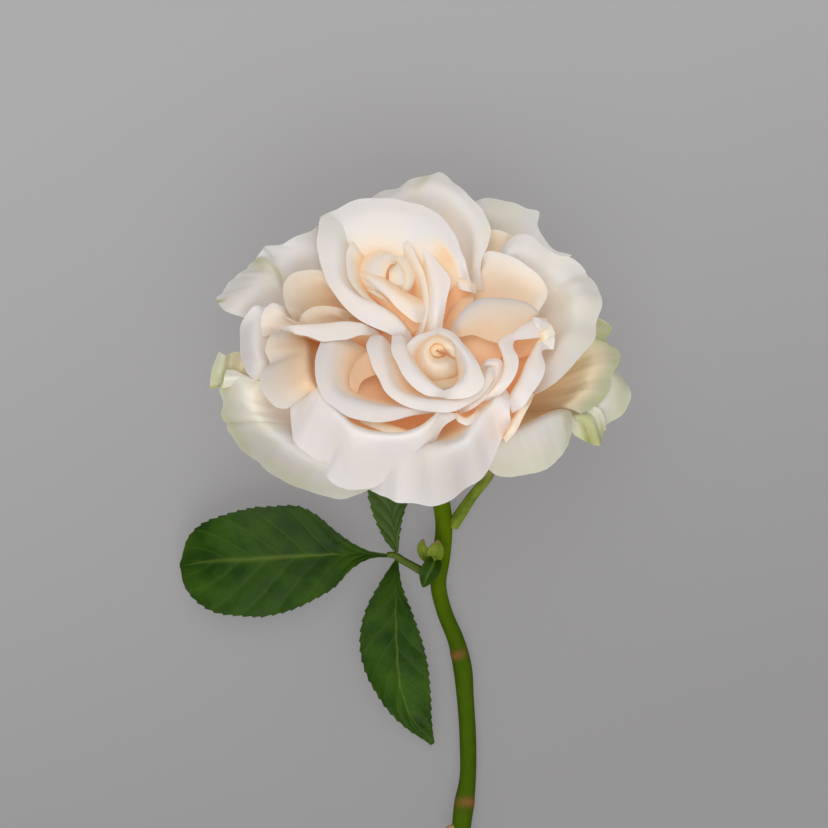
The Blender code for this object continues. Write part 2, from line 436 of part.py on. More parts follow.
GUARD_PETALS = (
    Petal("guard_left", OUTER, (
        ((262, 384, 28), (254, 392, 27), (256, 404, 26), (262, 416, 25), (272, 428, 24), (286, 440, 22),
         (302, 452, 20), (322, 462, 18), (348, 470, 17)),
        ((250, 380, 24), (227, 372, 20), (220, 388, 16), (222, 405, 13), (226, 425, 10.5),
         (237, 442, 8), (262, 466, 6), (299, 488, 5), (325, 497, 5), (346, 498, 5), (368, 489, 8)),
    ), 1.0),
    Petal("guard_left_fold", OUTER, (
        ((246, 350, 26), (242, 364, 26), (236, 380, 24)),
        ((233, 351, 24.5), (228, 365, 22), (221, 386, 18.5)),
        ((222, 351, 22), (214, 368, 18.5), (211, 389, 15)),
    ), 0.8),
    Petal("guard_right_high", OUTER, (
        ((586, 318, 28), (588, 334, 27), (591, 350, 25), (592, 366, 23), (588, 382, 21), (579, 396, 19.5),
         (566, 408, 18.5)),
        ((599, 318, 26), (612, 328, 22), (606, 341, 21), (620, 353, 17), (614, 374, 16),
         (606, 396, 14.5), (588, 418, 12.5)),
    ), 1.0),
    Petal("guard_right_low", OUTER, (
        ((592, 352, 18), (602, 366, 17), (607, 382, 15.5), (604, 397, 14), (596, 409, 13),
         (583, 418, 12.5), (568, 425, 12.5)),
        ((600, 352, 15), (619, 373, 11), (631, 393, 8), (624, 413, 6), (604, 427, 5.5), (600, 445, 5),
         (574, 435, 8.5)),
    ), 1.0),
    Petal("guard_right_front", OUTER, (
        ((573, 416, 16), (562, 414.5, 18.5), (549, 417, 20), (535, 423.5, 20.5), (519, 430.5, 20.5),
         (505, 438, 20), (493, 450, 18), (485, 464, 15)),
        ((575, 420, 14), (571, 437, 11), (562, 455, 9), (549, 466.5, 8), (530, 474, 8), (509, 477, 8.5),
         (494, 474.5, 10.5), (484, 466, 13.5)),
    ), 1.0),
)


def bloom_point(u, v, h):
    """The place in the bloom's frame of a point of the grid at height h along the bloom's axis."""
    across = (u - GRID_MIDDLE) * GRID
    down = (GRID_MIDDLE - v) * GRID
    reach = EYE_HEIGHT - DRAWN_HEIGHT
    slope = AXIS_Y / AXIS_Z
    level = RECEPTACLE[2] + AXIS_Z * h + slope * (RECEPTACLE[1] + AXIS_Y * h)
    z = (level - slope * down * EYE_HEIGHT / reach) / (1.0 - slope * down / reach)
    shrink = (EYE_HEIGHT - z) / reach
    up = (down * shrink - RECEPTACLE[1] - AXIS_Y * h) / AXIS_Z
    return (across * shrink - RECEPTACLE[0], up, h)


def from_bloom(points):
    """Points of the bloom's frame in the rose's frame."""
    points = np.asarray(points, float)
    across, up, along = points[..., 0], points[..., 1], points[..., 2]
    x = RECEPTACLE[0] + across - ORIGIN[0]
    y = RECEPTACLE[1] + AXIS_Z * up + AXIS_Y * along - ORIGIN[1]
    z = RECEPTACLE[2] - AXIS_Y * up + AXIS_Z * along
    return np.stack((x, y, z), axis=-1)


def seen(u, v, z):
    """The place in the rose's frame of a point of the grid at height z above the surface."""
    shrink = (EYE_HEIGHT - z) / (EYE_HEIGHT - DRAWN_HEIGHT)
    x = (u - GRID_MIDDLE) * GRID * shrink - ORIGIN[0]
    y = (GRID_MIDDLE - v) * GRID * shrink - ORIGIN[1]
    return (x, y, z)


def along_curve(points, places):
    """Places, from 0 to 1 of its length, on the smooth curve through the points."""
    points = np.asarray(points, float)
    knots = np.concatenate(((0.0,), np.cumsum(np.linalg.norm(np.diff(points, axis=0), axis=1))))
    knots /= knots[-1]
    slopes = np.gradient(points, knots, axis=0)
    places = np.asarray(places, float)
    index = np.clip(np.searchsorted(knots, places, side="right") - 1, 0, len(knots) - 2)
    step = (knots[index + 1] - knots[index])[:, None]
    f = ((places - knots[index]) / step[:, 0])[:, None]
    start, end = points[index], points[index + 1]
    leave, arrive = slopes[index] * step, slopes[index + 1] * step
    return (
        start * (2 * f**3 - 3 * f**2 + 1)
        + leave * (f**3 - 2 * f**2 + f)
        + end * (3 * f**2 - 2 * f**3)
        + arrive * (f**3 - f**2)
    )


def petal_rows(petal, places):
    """The petal's rows from its root to its free edge, in the bloom's frame, at places across it.

    The root row is short. Two rows between it and the lowest drawn one go outward first and up
    after, so that the petal is cupped by its belly.
    """
    drawn = [along_curve(row, places) for row in petal.rows]
    first = drawn[0]
    side = first[-1] - first[0]
    side[2] = 0.0
    side /= max(np.linalg.norm(side), 1.0)
    root = np.array(petal.root) + ROOT_WIDTH * (2.0 * places[:, None] - 1.0) * side
    rows = [root]
    for (out, more_out), (up, more_up) in BELLY_ROWS:
        outward = out + more_out * petal.belly
        upward = up + more_up * petal.belly
        rows.append(root + (first - root) * np.array((outward, outward, upward)))
    return np.array(rows + drawn)


def petal_grid(petal, across, along):
    """Points of the petal on a grid, from root to edge and from left to right."""
    rows = petal_rows(petal, np.linspace(0.0, 1.0, across + 1))
    places = np.linspace(0.0, 1.0, along + 1) ** ROW_SPACING
    columns = [along_curve(rows[:, i], places) for i in range(across + 1)]
    return np.stack(columns, axis=1)


def drawn_petals():
    """The petals that are drawn on the grid, with their rows in the bloom's frame."""
    groups = (HIGH_HEART_PETALS, LOW_HEART_PETALS, FRONT_PETALS, RIGHT_PETALS, LEFT_PETALS, GUARD_PETALS)
    return [
        petal._replace(rows=[[bloom_point(*point) for point in row] for row in petal.rows])
        for group in groups
        for petal in group
    ]


def ring_petals():
    """The outermost petals, under the others, each an arc round the bloom's axis."""
    petals = []
    for name, root, middle, spread, crest, edge in RING_PETALS:
        share = np.linspace(-1.0, 1.0, 7)
        turns = np.radians(middle + spread * share)
        rows = []
        for radius, height in (crest, edge):
            reach = radius * (1.0 - RING_ROUND * share**4)
            heights = np.full(len(turns), height)
            rows.append(np.stack((reach * np.cos(turns), reach * np.sin(turns), heights), axis=1))
        petals.append(Petal(name, root, rows, 1.0))
    return petals


def material(name, colour, roughness):
    """A plain material of one colour."""
    made = bpy.data.materials.new(name)
    made.use_nodes = True
    shader = made.node_tree.nodes["Principled BSDF"]
    shader.inputs["Base Color"].default_value = (*colour, 1.0)
    shader.inputs["Roughness"].default_value = roughness
    shader.inputs["Metallic"].default_value = 0.0
    made.diffuse_color = (*colour, 1.0)
    return made


def mesh_object(name, points, faces, collection):
    """An object of these points, in millimetres, and faces."""
    mesh = bpy.data.meshes.new(name)
    mesh.from_pydata([tuple(point) for point in np.asarray(points) * MM], [], faces)
    mesh.update()
    made = bpy.data.objects.new(name, mesh)
    collection.objects.link(made)
    return made


def applied(obj, weld=True):
    """Turns the object's modifiers, or its curve, into its own mesh, welded where its caps are loose."""
    graph = bpy.context.evaluated_depsgraph_get()
    mesh = bpy.data.meshes.new_from_object(obj.evaluated_get(graph))
    if obj.type == "MESH":
        obj.modifiers.clear()
        obj.data = mesh
        made = obj
    else:
        name, place, collections = obj.name, obj.matrix_world.copy(), list(obj.users_collection)
        bpy.data.objects.remove(obj)
        made = bpy.data.objects.new(name, mesh)
        made.matrix_world = place
        for collection in collections:
            collection.objects.link(made)
    work = bmesh.new()
    work.from_mesh(made.data)
    if weld:
        bmesh.ops.remove_doubles(work, verts=work.verts, dist=WELD)
        bmesh.ops.recalc_face_normals(work, faces=work.faces)
    bmesh.ops.triangulate(work, faces=work.faces)
    work.to_mesh(made.data)
    work.free()
    return made


def blade(name, grid, thick, collection):
    """A closed thin blade on a grid of points, cut into triangles before it gets its thickness."""
    rows, columns = grid.shape[:2]
    faces = []
    for i in range(rows - 1):
        for j in range(columns - 1):
            a, b = i * columns + j, i * columns + j + 1
            c, d = a + columns, b + columns
            faces += [(a, b, d), (a, d, c)]
    made = mesh_object(name, grid.reshape(-1, 3), faces, collection)
    wall = made.modifiers.new("wall", "SOLIDIFY")
    wall.thickness = thick * MM
    wall.offset = 0.0
    return applied(made)


def ball(name, centre, radii, collection, segments=12, rings=8):
    """A stretched sphere: its centre and its three radii, in millimetres."""
    work = bmesh.new()
    bmesh.ops.create_uvsphere(work, u_segments=segments, v_segments=rings, radius=1.0)
    for vert in work.verts:
        vert.co = Vector([(centre[k] + vert.co[k] * radii[k]) * MM for k in range(3)])
    mesh = bpy.data.meshes.new(name)
    work.to_mesh(mesh)
    work.free()
    made = bpy.data.objects.new(name, mesh)
    collection.objects.link(made)
    return applied(made)


def tube(name, points, radii, collection, roundness=1):
    """A round bar along the points, with its radius at each of them."""
    data = bpy.data.curves.new(name, "CURVE")
    data.dimensions = "3D"
    data.bevel_depth = MM
    data.bevel_resolution = roundness
    data.use_fill_caps = True
    spline = data.splines.new("POLY")
    spline.points.add(len(points) - 1)
    for point, place, radius in zip(spline.points, points, radii):
        point.co = (*(np.asarray(place) * MM), 1.0)
        point.radius = radius
    made = bpy.data.objects.new(name, data)
    collection.objects.link(made)
    bpy.context.view_layer.update()
    return applied(made)


def united(base, others, solver):
    """Joins the others to the base by one Boolean, and keeps the one outer shell that they make."""
    bpy.context.view_layer.update()
    union = base.modifiers.new("union", "BOOLEAN")
    union.operation = "UNION"
    union.operand_type = "COLLECTION"
    union.collection = others
    union.solver = solver
    bpy.context.view_layer.update()
    applied(base, weld=False)
    for obj in list(others.objects):
        bpy.data.objects.remove(obj)
    bpy.data.collections.remove(others)
    keep_largest(base)


def keep_largest(obj):
    """Drops loose scraps, and the walls of hollows that the union sealed."""
    work = bmesh.new()
    work.from_mesh(obj.data)
    left = set(work.faces)
    shells = []
    while left:
        shell = {left.pop()}
        front = list(shell)
        while front:
            face = front.pop()
            for edge in face.edges:
                for other in edge.link_faces:
                    if other in left:
                        left.discard(other)
                        shell.add(other)
                        front.append(other)
        shells.append(shell)
    shells.sort(key=len)
    scraps = [face for shell in shells[:-1] for face in shell]
    bmesh.ops.delete(work, geom=scraps, context="FACES")
    work.to_mesh(obj.data)
    work.free()


def gathered(name, scene_collection):
    """A new collection in the scene's own."""
    made = bpy.data.collections.new(name)
    scene_collection.children.link(made)
    return made


def finished(obj, look):
    """Gives the object its one material, smooth faces and sharp edges."""
    obj.data.materials.clear()
    obj.data.materials.append(look)
    obj.data.shade_smooth()
    obj.data.set_sharp_from_angle(angle=SHARP)


def build_bloom(scene, parts, look):
    """The petals in their layers, round two hearts, rooted in a small core."""
    petals = gathered("petals", scene)
    for petal in drawn_petals() + ring_petals():
        length = np.linalg.norm(np.diff(np.asarray(petal.rows[-1]), axis=0), axis=1).sum()
        across = int(np.clip(round(length / PETAL_STEP), *PETAL_COLUMNS))
        resting = petal.name == RESTING_PETAL
        grid = from_bloom(petal_grid(petal, across, RESTING_ROWS if resting else PETAL_ROWS))
        clear = 0.0 if resting else PETAL_CLEAR
        grid[..., 2] = np.maximum(grid[..., 2], clear + PETAL_THICK / 2.0)
        made = blade(petal.name, grid, PETAL_THICK, petals)
        for vert in made.data.vertices:
            if vert.co.z < PETAL_THICK / 2.0 * MM:
                vert.co.z = 0.0
    core = ball("bloom", (0.0, 0.0, CORE_MIDDLE), CORE_RADII, parts, 12, 7)
    into_rose_frame(core)
    united(core, petals, "MANIFOLD")
    finished(core, look)


def serrated(line, places, teeth, inward):
    """An edge of a leaflet with forward teeth: a saw's wave that is highest at each tooth's far end."""
    points = along_curve(line, places)
    saw = np.mod(places * teeth, 1.0)
    fade = np.minimum(1.0, TOOTH_FADE * np.minimum(places, 1.0 - places))
    lift = TOOTH * (saw - 0.5) * fade
    inward = inward / np.maximum(np.linalg.norm(inward, axis=1, keepdims=True), 0.001)
    return points - inward * lift[:, None]


def leaflet_grid(leaflet, steps, side_steps):
    """Points of a leaflet on a grid from base to tip, and from its lower edge to its upper edge."""
    places = np.linspace(0.0, 1.0, steps + 1)
    rib, upper, lower = ([seen(*point) for point in line] for line in leaflet[1:4])
    rib = along_curve(rib, places)
    edges = []
    for line in (lower, upper):
        plain = along_curve(line, places)
        edges.append(serrated(line, places, leaflet.teeth, rib - plain))
    columns = [edges[0] + (rib - edges[0]) * k / side_steps for k in range(side_steps)]
    columns += [rib + (edges[1] - rib) * k / side_steps for k in range(side_steps + 1)]
    return np.stack(columns, axis=1)


def small_leaf_grid(line, half, fold, steps=5):
    """A pointed leaf along a line, at its widest a third of the way, with its sides folded up."""
    places = np.linspace(0.0, 1.0, steps + 1)
    rib = along_curve([seen(*point) for point in line], places)
    ahead = np.gradient(rib, axis=0)
    side = np.cross(ahead, (0.0, 0.0, 1.0))
    side /= np.linalg.norm(side, axis=1, keepdims=True)
    first, last = SMALL_LEAF_SPAN
    width = half * np.sin(np.pi * (first + (last - first) * places)) ** SMALL_LEAF_BLUNT
    up = np.array((0.0, 0.0, fold))
    shares = (-1.0, 0.0, 1.0)
    columns = [rib + (side * share + up * abs(share)) * width[:, None] for share in shares]
    return np.stack(columns, axis=1)


def stem_path():
    """Evenly spaced points down the stem, with the stem's radius at each."""
    line = np.array([from_bloom((0.0, 0.0, h)) for h in STEM_TOP] + [seen(*point) for point in STEM_LINE])
    length = np.linalg.norm(np.diff(line, axis=0), axis=1).sum()
    places = np.linspace(0.0, 1.0, int(round(length / STEM_STEP)) + 1)
    both = along_curve(np.column_stack((line, STEM_RADII)), places)
    return both[:, :3], both[:, 3]


def build_stem(scene, parts, look):
    """The stem from the hip to its slanted cut, with its nodes, and its prickles grown into it."""
    points, radii = stem_path()
    stem = tube("stem", points, radii, parts, roundness=2)
    prickles = gathered("prickles", scene)
    for number, (place, turn, height) in enumerate(PRICKLES):
        index = int(place * (len(points) - 1))
        middle = along_curve(points, (place,))[0]
        ahead = points[index + 1] - points[index]
        ahead /= np.linalg.norm(ahead)
        right = np.cross((0.0, 0.0, -1.0), ahead)
        right /= np.linalg.norm(right)
        turn = math.radians(turn)
        out = math.cos(turn) * right + math.sin(turn) * np.array((0.0, 0.0, 1.0))
        skin = radii[index]
        line = [
            middle + out * skin * PRICKLE_SUNK,
            middle + out * (skin + 0.5 * height) + ahead * PRICKLE_HOOK * 0.25,
            middle + out * (skin + height) + ahead * PRICKLE_HOOK,
        ]
        tube(f"prickle_{number}", line, PRICKLE_RADII, prickles)
    united(stem, prickles, "EXACT")
    slant_cut(stem, points[-1], scene)
    finished(stem, look)


def slant_cut(stem, end, scene):
    """Cuts the stem's end at a slant."""
    cutters = gathered("cutters", scene)
    cutters.hide_render = True
    cutter = blank_box("stem_cut", (CUTTER,) * 3, cutters)
    away = np.array((0.0, -math.cos(CUT_SLANT), -math.sin(CUT_SLANT)))
    face = end + np.array((0.0, CUT_BACK, 0.0))
    cutter.location = Vector((face + away * CUTTER / 2.0) * MM)
    cutter.rotation_euler = (CUT_SLANT, 0.0, 0.0)
    bpy.context.view_layer.update()
    trim = stem.modifiers.new("slanted cut", "BOOLEAN")
    trim.operation = "DIFFERENCE"
    trim.object = cutter


def blank_box(name, sides, collection):
    """A box that is only there to cut with."""
    work = bmesh.new()
    bmesh.ops.create_cube(work, size=1.0)
    bmesh.ops.scale(work, vec=Vector(sides) * MM, verts=work.verts)
    mesh = bpy.data.meshes.new(name)
    work.to_mesh(mesh)
    work.free()
    made = bpy.data.objects.new(name, mesh)
    collection.objects.link(made)
    made.hide_render = True
    made.display_type = "WIRE"
    return made


def build_leaf(scene, parts, look):
    """The compound leaf: a petiole and three toothed leaflets."""
    leaf = tube("leaf", [seen(*point) for point in PETIOLE_LINE], PETIOLE_RADII, parts)
    blades = gathered("leaflets", scene)
    for leaflet in LEAFLETS:
        blade(leaflet.name, leaflet_grid(leaflet, leaflet.teeth * 2, 2), LEAF_THICK, blades)
    united(leaf, blades, "MANIFOLD")
    finished(leaf, look)


def build_side_shoot(scene, parts, look):
    """The flowering side shoot, which ends in a small closed bud behind the bloom."""
    line = [seen(*point) for point in SIDE_SHOOT_LINE]
    shoot = tube("side_shoot", line, SIDE_SHOOT_RADII, parts, roundness=2)
    buds = gathered("side_buds", scene)
    centre, radii = SIDE_BUD
    ball("side_bud", seen(*centre), radii, buds, 10, 7)
    united(shoot, buds, "EXACT")
    finished(shoot, look)


def build_axil_shoot(scene, parts, look):
    """The small shoot where the leaf leaves the stem: a bud and three little leaves."""
    centre, radii = AXIL_BUD
    shoot = ball("axil_shoot", seen(*centre), radii, parts, 10, 7)
    leaves = gathered("axil_leaves", scene)
    for name, line, half in AXIL_LEAVES:
        blade(name, small_leaf_grid(line, half, SMALL_LEAF_FOLD), LEAF_THICK, leaves)
    united(shoot, leaves, "MANIFOLD")
    finished(shoot, look)


def turned_hip(parts):
    """The hip, turned round the bloom's axis."""
    profile = [(0.0, HIP_PROFILE[-1][1])] + list(reversed(HIP_PROFILE)) + [(0.0, HIP_PROFILE[0][1])]
    mesh = bpy.data.meshes.new("calyx")
    links = [(i, i + 1) for i in range(len(profile) - 1)]
    mesh.from_pydata([(radius * MM, 0.0, height * MM) for radius, height in profile], links, [])
    hip = bpy.data.objects.new("calyx", mesh)
    parts.objects.link(hip)
    turn = hip.modifiers.new("turned", "SCREW")
    turn.angle = 2.0 * math.pi
    turn.steps = HIP_SIDES
    turn.render_steps = HIP_SIDES
    turn.use_merge_vertices = True
    turn.merge_threshold = HIP_POLE
    bpy.context.view_layer.update()
    applied(hip)
    into_rose_frame(hip)
    return hip


def into_rose_frame(obj):
    """Moves a mesh that was made round the bloom's axis to its place in the rose."""
    points = from_bloom(np.array([vert.co[:] for vert in obj.data.vertices]) / MM)
    obj.data.vertices.foreach_set("co", (points * MM).astype(np.float32).ravel())
    obj.data.update()
    applied(obj)


def sepal_grid(angle):
    """A tapering sepal, at an angle round the bloom's axis, that bends back at its tip."""
    places = np.linspace(0.0, 1.0, 6)
    line = along_curve(SEPAL_LINE, places)
    half = SEPAL_HALF * (1.0 - places**SEPAL_TAPER) + SEPAL_TIP
    columns = []
    for share in (-1.0, -0.5, 0.0, 0.5, 1.0):
        side = share * half
        out = line[:, 0] - SEPAL_CURL * side**2
        across = out * math.cos(angle) - side * math.sin(angle)
        up = out * math.sin(angle) + side * math.cos(angle)
        columns.append(np.stack((across, up, line[:, 1] + SEPAL_CURL * side**2), axis=1))
    return from_bloom(np.stack(columns, axis=1))


def build_calyx(scene, parts, look):
    """The hip that carries the petals, with five sepals spread under them."""
    calyx = turned_hip(parts)
    sepals = gathered("sepals", scene)
    for number in range(SEPALS):
        angle = SEPAL_FIRST + 2.0 * math.pi * number / SEPALS
        blade(f"sepal_{number}", sepal_grid(angle), SEPAL_THICK, sepals)
    united(calyx, sepals, "MANIFOLD")
    finished(calyx, look)


def main():
    """Clears the file and builds the rose's six parts."""
    for obj in list(bpy.data.objects):
        bpy.data.objects.remove(obj)
    scene = bpy.context.scene.collection
    parts = gathered("cut_rose", scene)
    build_bloom(scene, parts, material("petal", (0.86, 0.72, 0.58), 0.55))
    build_calyx(scene, parts, material("calyx_green", (0.16, 0.27, 0.06), 0.5))
    build_stem(scene, parts, material("stem_green", (0.13, 0.24, 0.04), 0.45))
    build_leaf(scene, parts, material("leaf_green", (0.02, 0.09, 0.015), 0.35))
    build_side_shoot(scene, parts, material("shoot_green", (0.24, 0.33, 0.06), 0.5))
    build_axil_shoot(scene, parts, material("axil_green", (0.14, 0.24, 0.05), 0.45))


main()
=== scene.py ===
"""The looks of a cut rose with two hearts that lies on its back on a pale floor.

It is laid out as an add-on and runs as a script: each operator makes one group of like pieces as
surfaces worked out on grids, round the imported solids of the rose. Sizes are millimetres until mesh
data is written in metres. u and v are steps of the drawing grid, to the right and down the stem, as
the rose is seen from straight above; h is the height along the bloom's axis.
"""

import math
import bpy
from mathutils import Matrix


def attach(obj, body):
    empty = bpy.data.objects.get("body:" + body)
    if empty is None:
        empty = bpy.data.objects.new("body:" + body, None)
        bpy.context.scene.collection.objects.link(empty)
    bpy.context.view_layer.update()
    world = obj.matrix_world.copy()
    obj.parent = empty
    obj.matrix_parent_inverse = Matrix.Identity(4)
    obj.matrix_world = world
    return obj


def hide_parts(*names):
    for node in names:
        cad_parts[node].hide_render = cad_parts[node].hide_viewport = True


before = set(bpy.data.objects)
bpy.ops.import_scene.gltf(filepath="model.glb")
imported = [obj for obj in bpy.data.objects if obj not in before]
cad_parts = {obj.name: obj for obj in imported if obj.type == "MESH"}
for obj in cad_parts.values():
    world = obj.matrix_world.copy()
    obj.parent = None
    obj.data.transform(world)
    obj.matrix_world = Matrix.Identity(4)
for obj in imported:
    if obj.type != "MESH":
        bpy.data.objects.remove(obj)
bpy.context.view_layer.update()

import zlib
from collections import namedtuple

import bpy
import mathutils
import numpy as np
from bpy.props import FloatProperty, FloatVectorProperty, PointerProperty
from bpy.types import Operator, Panel, PropertyGroup

bl_info = {
    "name": "Cut rose",
    "version": (1, 0, 0),
    "blender": (4, 5, 0),
    "location": "3D View > Sidebar > Rose",
    "description": "Makes the petals, leaves, stem and stage of a cut rose",
    "category": "Add Mesh",
}

# Driving dimensions
BLOOM_WIDTH = 110.0
BLOOM_STEPS = 415.0  # the bloom's width in steps of the drawing grid
GRID = BLOOM_WIDTH / BLOOM_STEPS
GRID_MIDDLE = 414.0  # the grid line, in u and in v, that the drawing looks straight down on
EYE_HEIGHT = 900.0  # the drawing is seen from this height
DRAWN_HEIGHT = 40.0  # the height at which a grid step is GRID
ORIGIN = (-3.45, -87.45)  # the middle of the rose on the surface, from the drawing's middle
MM = 0.001

# The bloom's own frame: across, up the bloom's face, and along its axis
TILT = math.radians(50.0)  # the bloom's axis, up from the surface
AXIS_Y = math.cos(TILT)
AXIS_Z = math.sin(TILT)
RECEPTACLE = (3.0, 0.0, 24.5)  # x and y from the drawing's middle, and height
OUTER = (0.0, 0.0, 5.0)
MIDDLE = (0.0, 0.0, 9.0)
INNER = (0.0, 0.0, 15.0)
HIGH_HEART = (-6.0, 13.0, 20.0)
LOW_HEART = (5.0, -12.0, 20.0)

Petal = namedtuple("Petal", "name root rows belly")

# The green parts: each point of a line is (u, v, height above the surface)
STEM_TOP = (-14.2, -15.6, -17.2)  # where the stem leaves the hip, along the bloom's axis
STEM_LINE = (
    (432.0, 475.0, 7.4), (437.5, 490.0, 5.4), (442.0, 506.0, 4.1), (444.0, 527.0, 3.3),
    (441.5, 556.0, 2.9), (438.5, 585.0, 2.7), (445.0, 613.0, 2.7), (456.0, 640.0, 2.8),
    (462.0, 664.0, 3.0), (465.5, 700.0, 2.9), (468.0, 745.0, 2.7), (467.5, 780.0, 2.7),
    (464.0, 804.0, 2.9), (461.0, 830.0, 2.9), (459.0, 900.0, 2.8), (464.0, 985.0, 2.9),
    (472.0, 1045.0, 3.1), (474.0, 1120.0, 2.9), (468.0, 1210.0, 2.8), (465.0, 1275.0, 2.75),
)
STEM_RADII = (  # at STEM_TOP's points and at STEM_LINE's
    2.8, 2.65, 2.55, 2.45, 2.4, 2.4, 2.35, 2.5, 2.2, 2.15, 2.3, 2.6, 2.35, 2.3, 2.3, 2.75, 2.6, 2.55, 2.6,
    2.95, 2.7, 2.7, 2.75,
)
STEM_POINTS = 0.8  # how far apart the stem's rings are
STEM_SIDES = 48
STEM_RIB = 0.018  # how far its ribs and its scars stand out, as shares of its radius
STEM_SCAR = 0.05
PRICKLES = (  # where down the stem it grows, the way it points in degrees from +X to +Z, and its height
    (0.478, 20.0, 2.6), (0.520, 350.0, 2.2), (0.497, 160.0, 1.7), (0.655, 205.0, 3.0), (0.742, 30.0, 3.2),
    (0.855, 150.0, 3.0), (0.905, 15.0, 2.8),
)
PRICKLE_FOOT = 1.575  # its radius at the foot and at the point
PRICKLE_POINT = 0.12
PRICKLE_SUNK = 0.4  # how deep its root lies, as a share of the stem's radius
PRICKLE_HOOK = 0.9  # how far its point leans down the stem
CUT_SLANT = math.radians(40.0)
CUT_BACK = 2.6  # how far before the end of the stem's line the cut's middle is
CUT_LEAN = 7.0  # over how long a stretch the stem's rings lean into the cut
CUT_RINGS = ((0.10, 0.97), (0.16, 0.85), (0.20, 0.50), (0.22, 0.15))  # past the end, and share of the radius
# Reddish scars: where down the drawing, turned how far round, and how wide
SCARS = ((652.0, 0.4, 1.1), (803.0, 2.6, 1.3), (985.0, 1.2, 1.2), (1120.0, 4.0, 1.3))

Leaflet = namedtuple("Leaflet", "name rib upper lower teeth")
LEAFLETS = (
    Leaflet("end_leaflet",
            ((390, 555, 4.6), (350, 554, 6.4), (300, 556, 8.6), (250, 559, 8.8), (212, 561, 7.0),
             (180, 566, 3.6)),
            ((390, 554, 4.7), (369, 550, 6.2), (350, 541, 8.2), (334, 530, 10.0), (317, 516, 11.4),
             (300, 507, 12.0), (273, 506, 12.0), (248, 508, 11.6), (222, 515, 10.4), (201, 524, 8.8),
             (188, 537, 6.6), (180, 564, 3.8)),
            ((390, 556, 4.7), (371, 558, 5.6), (352, 569, 6.8), (335, 587, 7.6), (314, 600, 8.2),
             (290, 611, 8.4), (262, 617, 8.2), (237, 616, 7.8), (214, 612, 6.8), (198, 602, 5.6),
             (186, 588, 4.6), (180, 568, 3.4)),
            13),
    Leaflet("low_leaflet",
            ((396, 560, 4.4), (396, 600, 6.0), (397, 650, 6.6), (401, 690, 5.6), (414, 722, 4.2),
             (433, 744, 2.6)),
            ((395, 560, 4.5), (379, 584, 6.2), (368, 604, 7.4), (361, 628, 8.2), (360, 648, 8.4),
             (365, 672, 8.0), (375, 692, 7.0), (388, 711, 5.8), (406, 728, 4.4), (432, 744, 2.8)),
            ((397, 560, 4.5), (402, 586, 5.4), (412, 612, 6.2), (422, 640, 6.8), (428, 666, 6.6),
             (431, 696, 5.6), (432, 724, 4.0), (434, 743, 2.8)),
            11),
    Leaflet("high_leaflet",
            ((396, 552, 4.4), (393, 520, 4.8), (389, 490, 5.0), (386, 460, 4.8), (386, 430, 4.2),
             (388, 405, 3.4)),
            ((395, 552, 4.5), (384, 539, 5.2), (375, 520, 5.8), (369, 498, 6.2), (366, 470, 6.2),
             (368, 442, 5.6), (375, 418, 4.6), (387, 405, 3.6)),
            ((397, 552, 4.5), (400, 535, 4.9), (403, 518, 5.4), (408, 500, 5.8), (409, 475, 5.8),
             (405, 447, 5.2), (398, 422, 4.4), (389, 405, 3.6)),
            9),
)
TOOTH = 0.55  # how far a tooth of the leaf's edge stands out
TOOTH_HOLLOW = 1.3  # the power that hollows its back
TOOTH_POINTS = 6  # points along a tooth
HALF_POINTS = 36  # points from the rib to the edge
LEAF_VEINS = 8.0
VEIN_LEAN = 0.22  # how far a vein leans to the tip, as a share of the leaflet's length
VEIN_WIDTH = 0.07  # a vein's width, as a share of the gap between two veins
LEAF_WAVE = 0.8  # how far a leaflet's edge waves up and down
PETIOLE_LINE = (
    (387, 554.5, 5.0), (395, 555.5, 4.7), (402, 560, 4.5), (411, 565, 4.4), (419, 569.5, 4.2),
    (427.5, 574, 4.0),
)
PETIOLE_RADII = (0.75, 1.0, 1.05, 1.1, 1.2, 1.6)

SIDE_SHOOT_LINE = (
    (453, 526, 3.4), (457, 519, 4.4), (463.5, 509, 6.4), (469.5, 500, 8.5), (477, 490, 10.6),
    (484.5, 481, 12.4), (489, 472, 14.0), (490, 462, 15.4),
)
SIDE_SHOOT_RADII = (1.5, 1.65, 1.6, 1.5, 1.4, 1.4, 1.6, 1.75)
SIDE_BUD = ((490.5, 456, 17.0), 3.8, 2.8)  # its middle, half its length and its radius

# Where the big leaf leaves the stem: a bud, and small leaves as their rib and half their width
AXIL_BUD = ((434.0, 558.0, 6.55), 2.6, 1.9)
AXIL_LEAVES = (
    ("axil_stipule", ((430, 562, 6.4), (425, 555, 7.4), (422, 548, 7.8), (423, 539, 7.2)), 1.5),
    ("axil_round_leaf", ((432, 562, 6.8), (435, 554, 8.2), (437, 547, 8.8), (438, 540, 8.2)), 2.3),
    ("axil_folded_leaf", ((436, 556, 7.0), (433, 565, 9.2), (428, 575, 9.4), (423, 587, 7.0)), 2.6),
)
AXIL_FOLD = 0.35  # how far their sides rise, as a share of half their width
AXIL_THICK = 0.35

# The hip under the petals, as (radius, height) along the bloom's axis, and its five sepals
HIP_PROFILE = (
    (2.9, -13.6), (3.2, -12.0), (4.6, -10.0), (5.7, -7.0), (5.8, -4.0), (5.2, -1.6), (6.0, 0.4), (6.6, 1.2),
)
SEPALS = 5
SEPAL_FIRST = math.radians(90.0)
# A sepal's rib, as distance from the axis and height along it, half its width at the hip and at its tip,
# and how strongly its sides curl
SEPAL_LINE = ((4.6, -1.2), (8.0, -2.2), (12.0, -4.2), (15.5, -7.4), (17.5, -11.0))
SEPAL_HALF = 3.4
SEPAL_TIP = 0.35
SEPAL_CURL = 0.05
SEPAL_THICK = 0.5
HIP_SIDES = 48
HIP_RIBS = 0.02

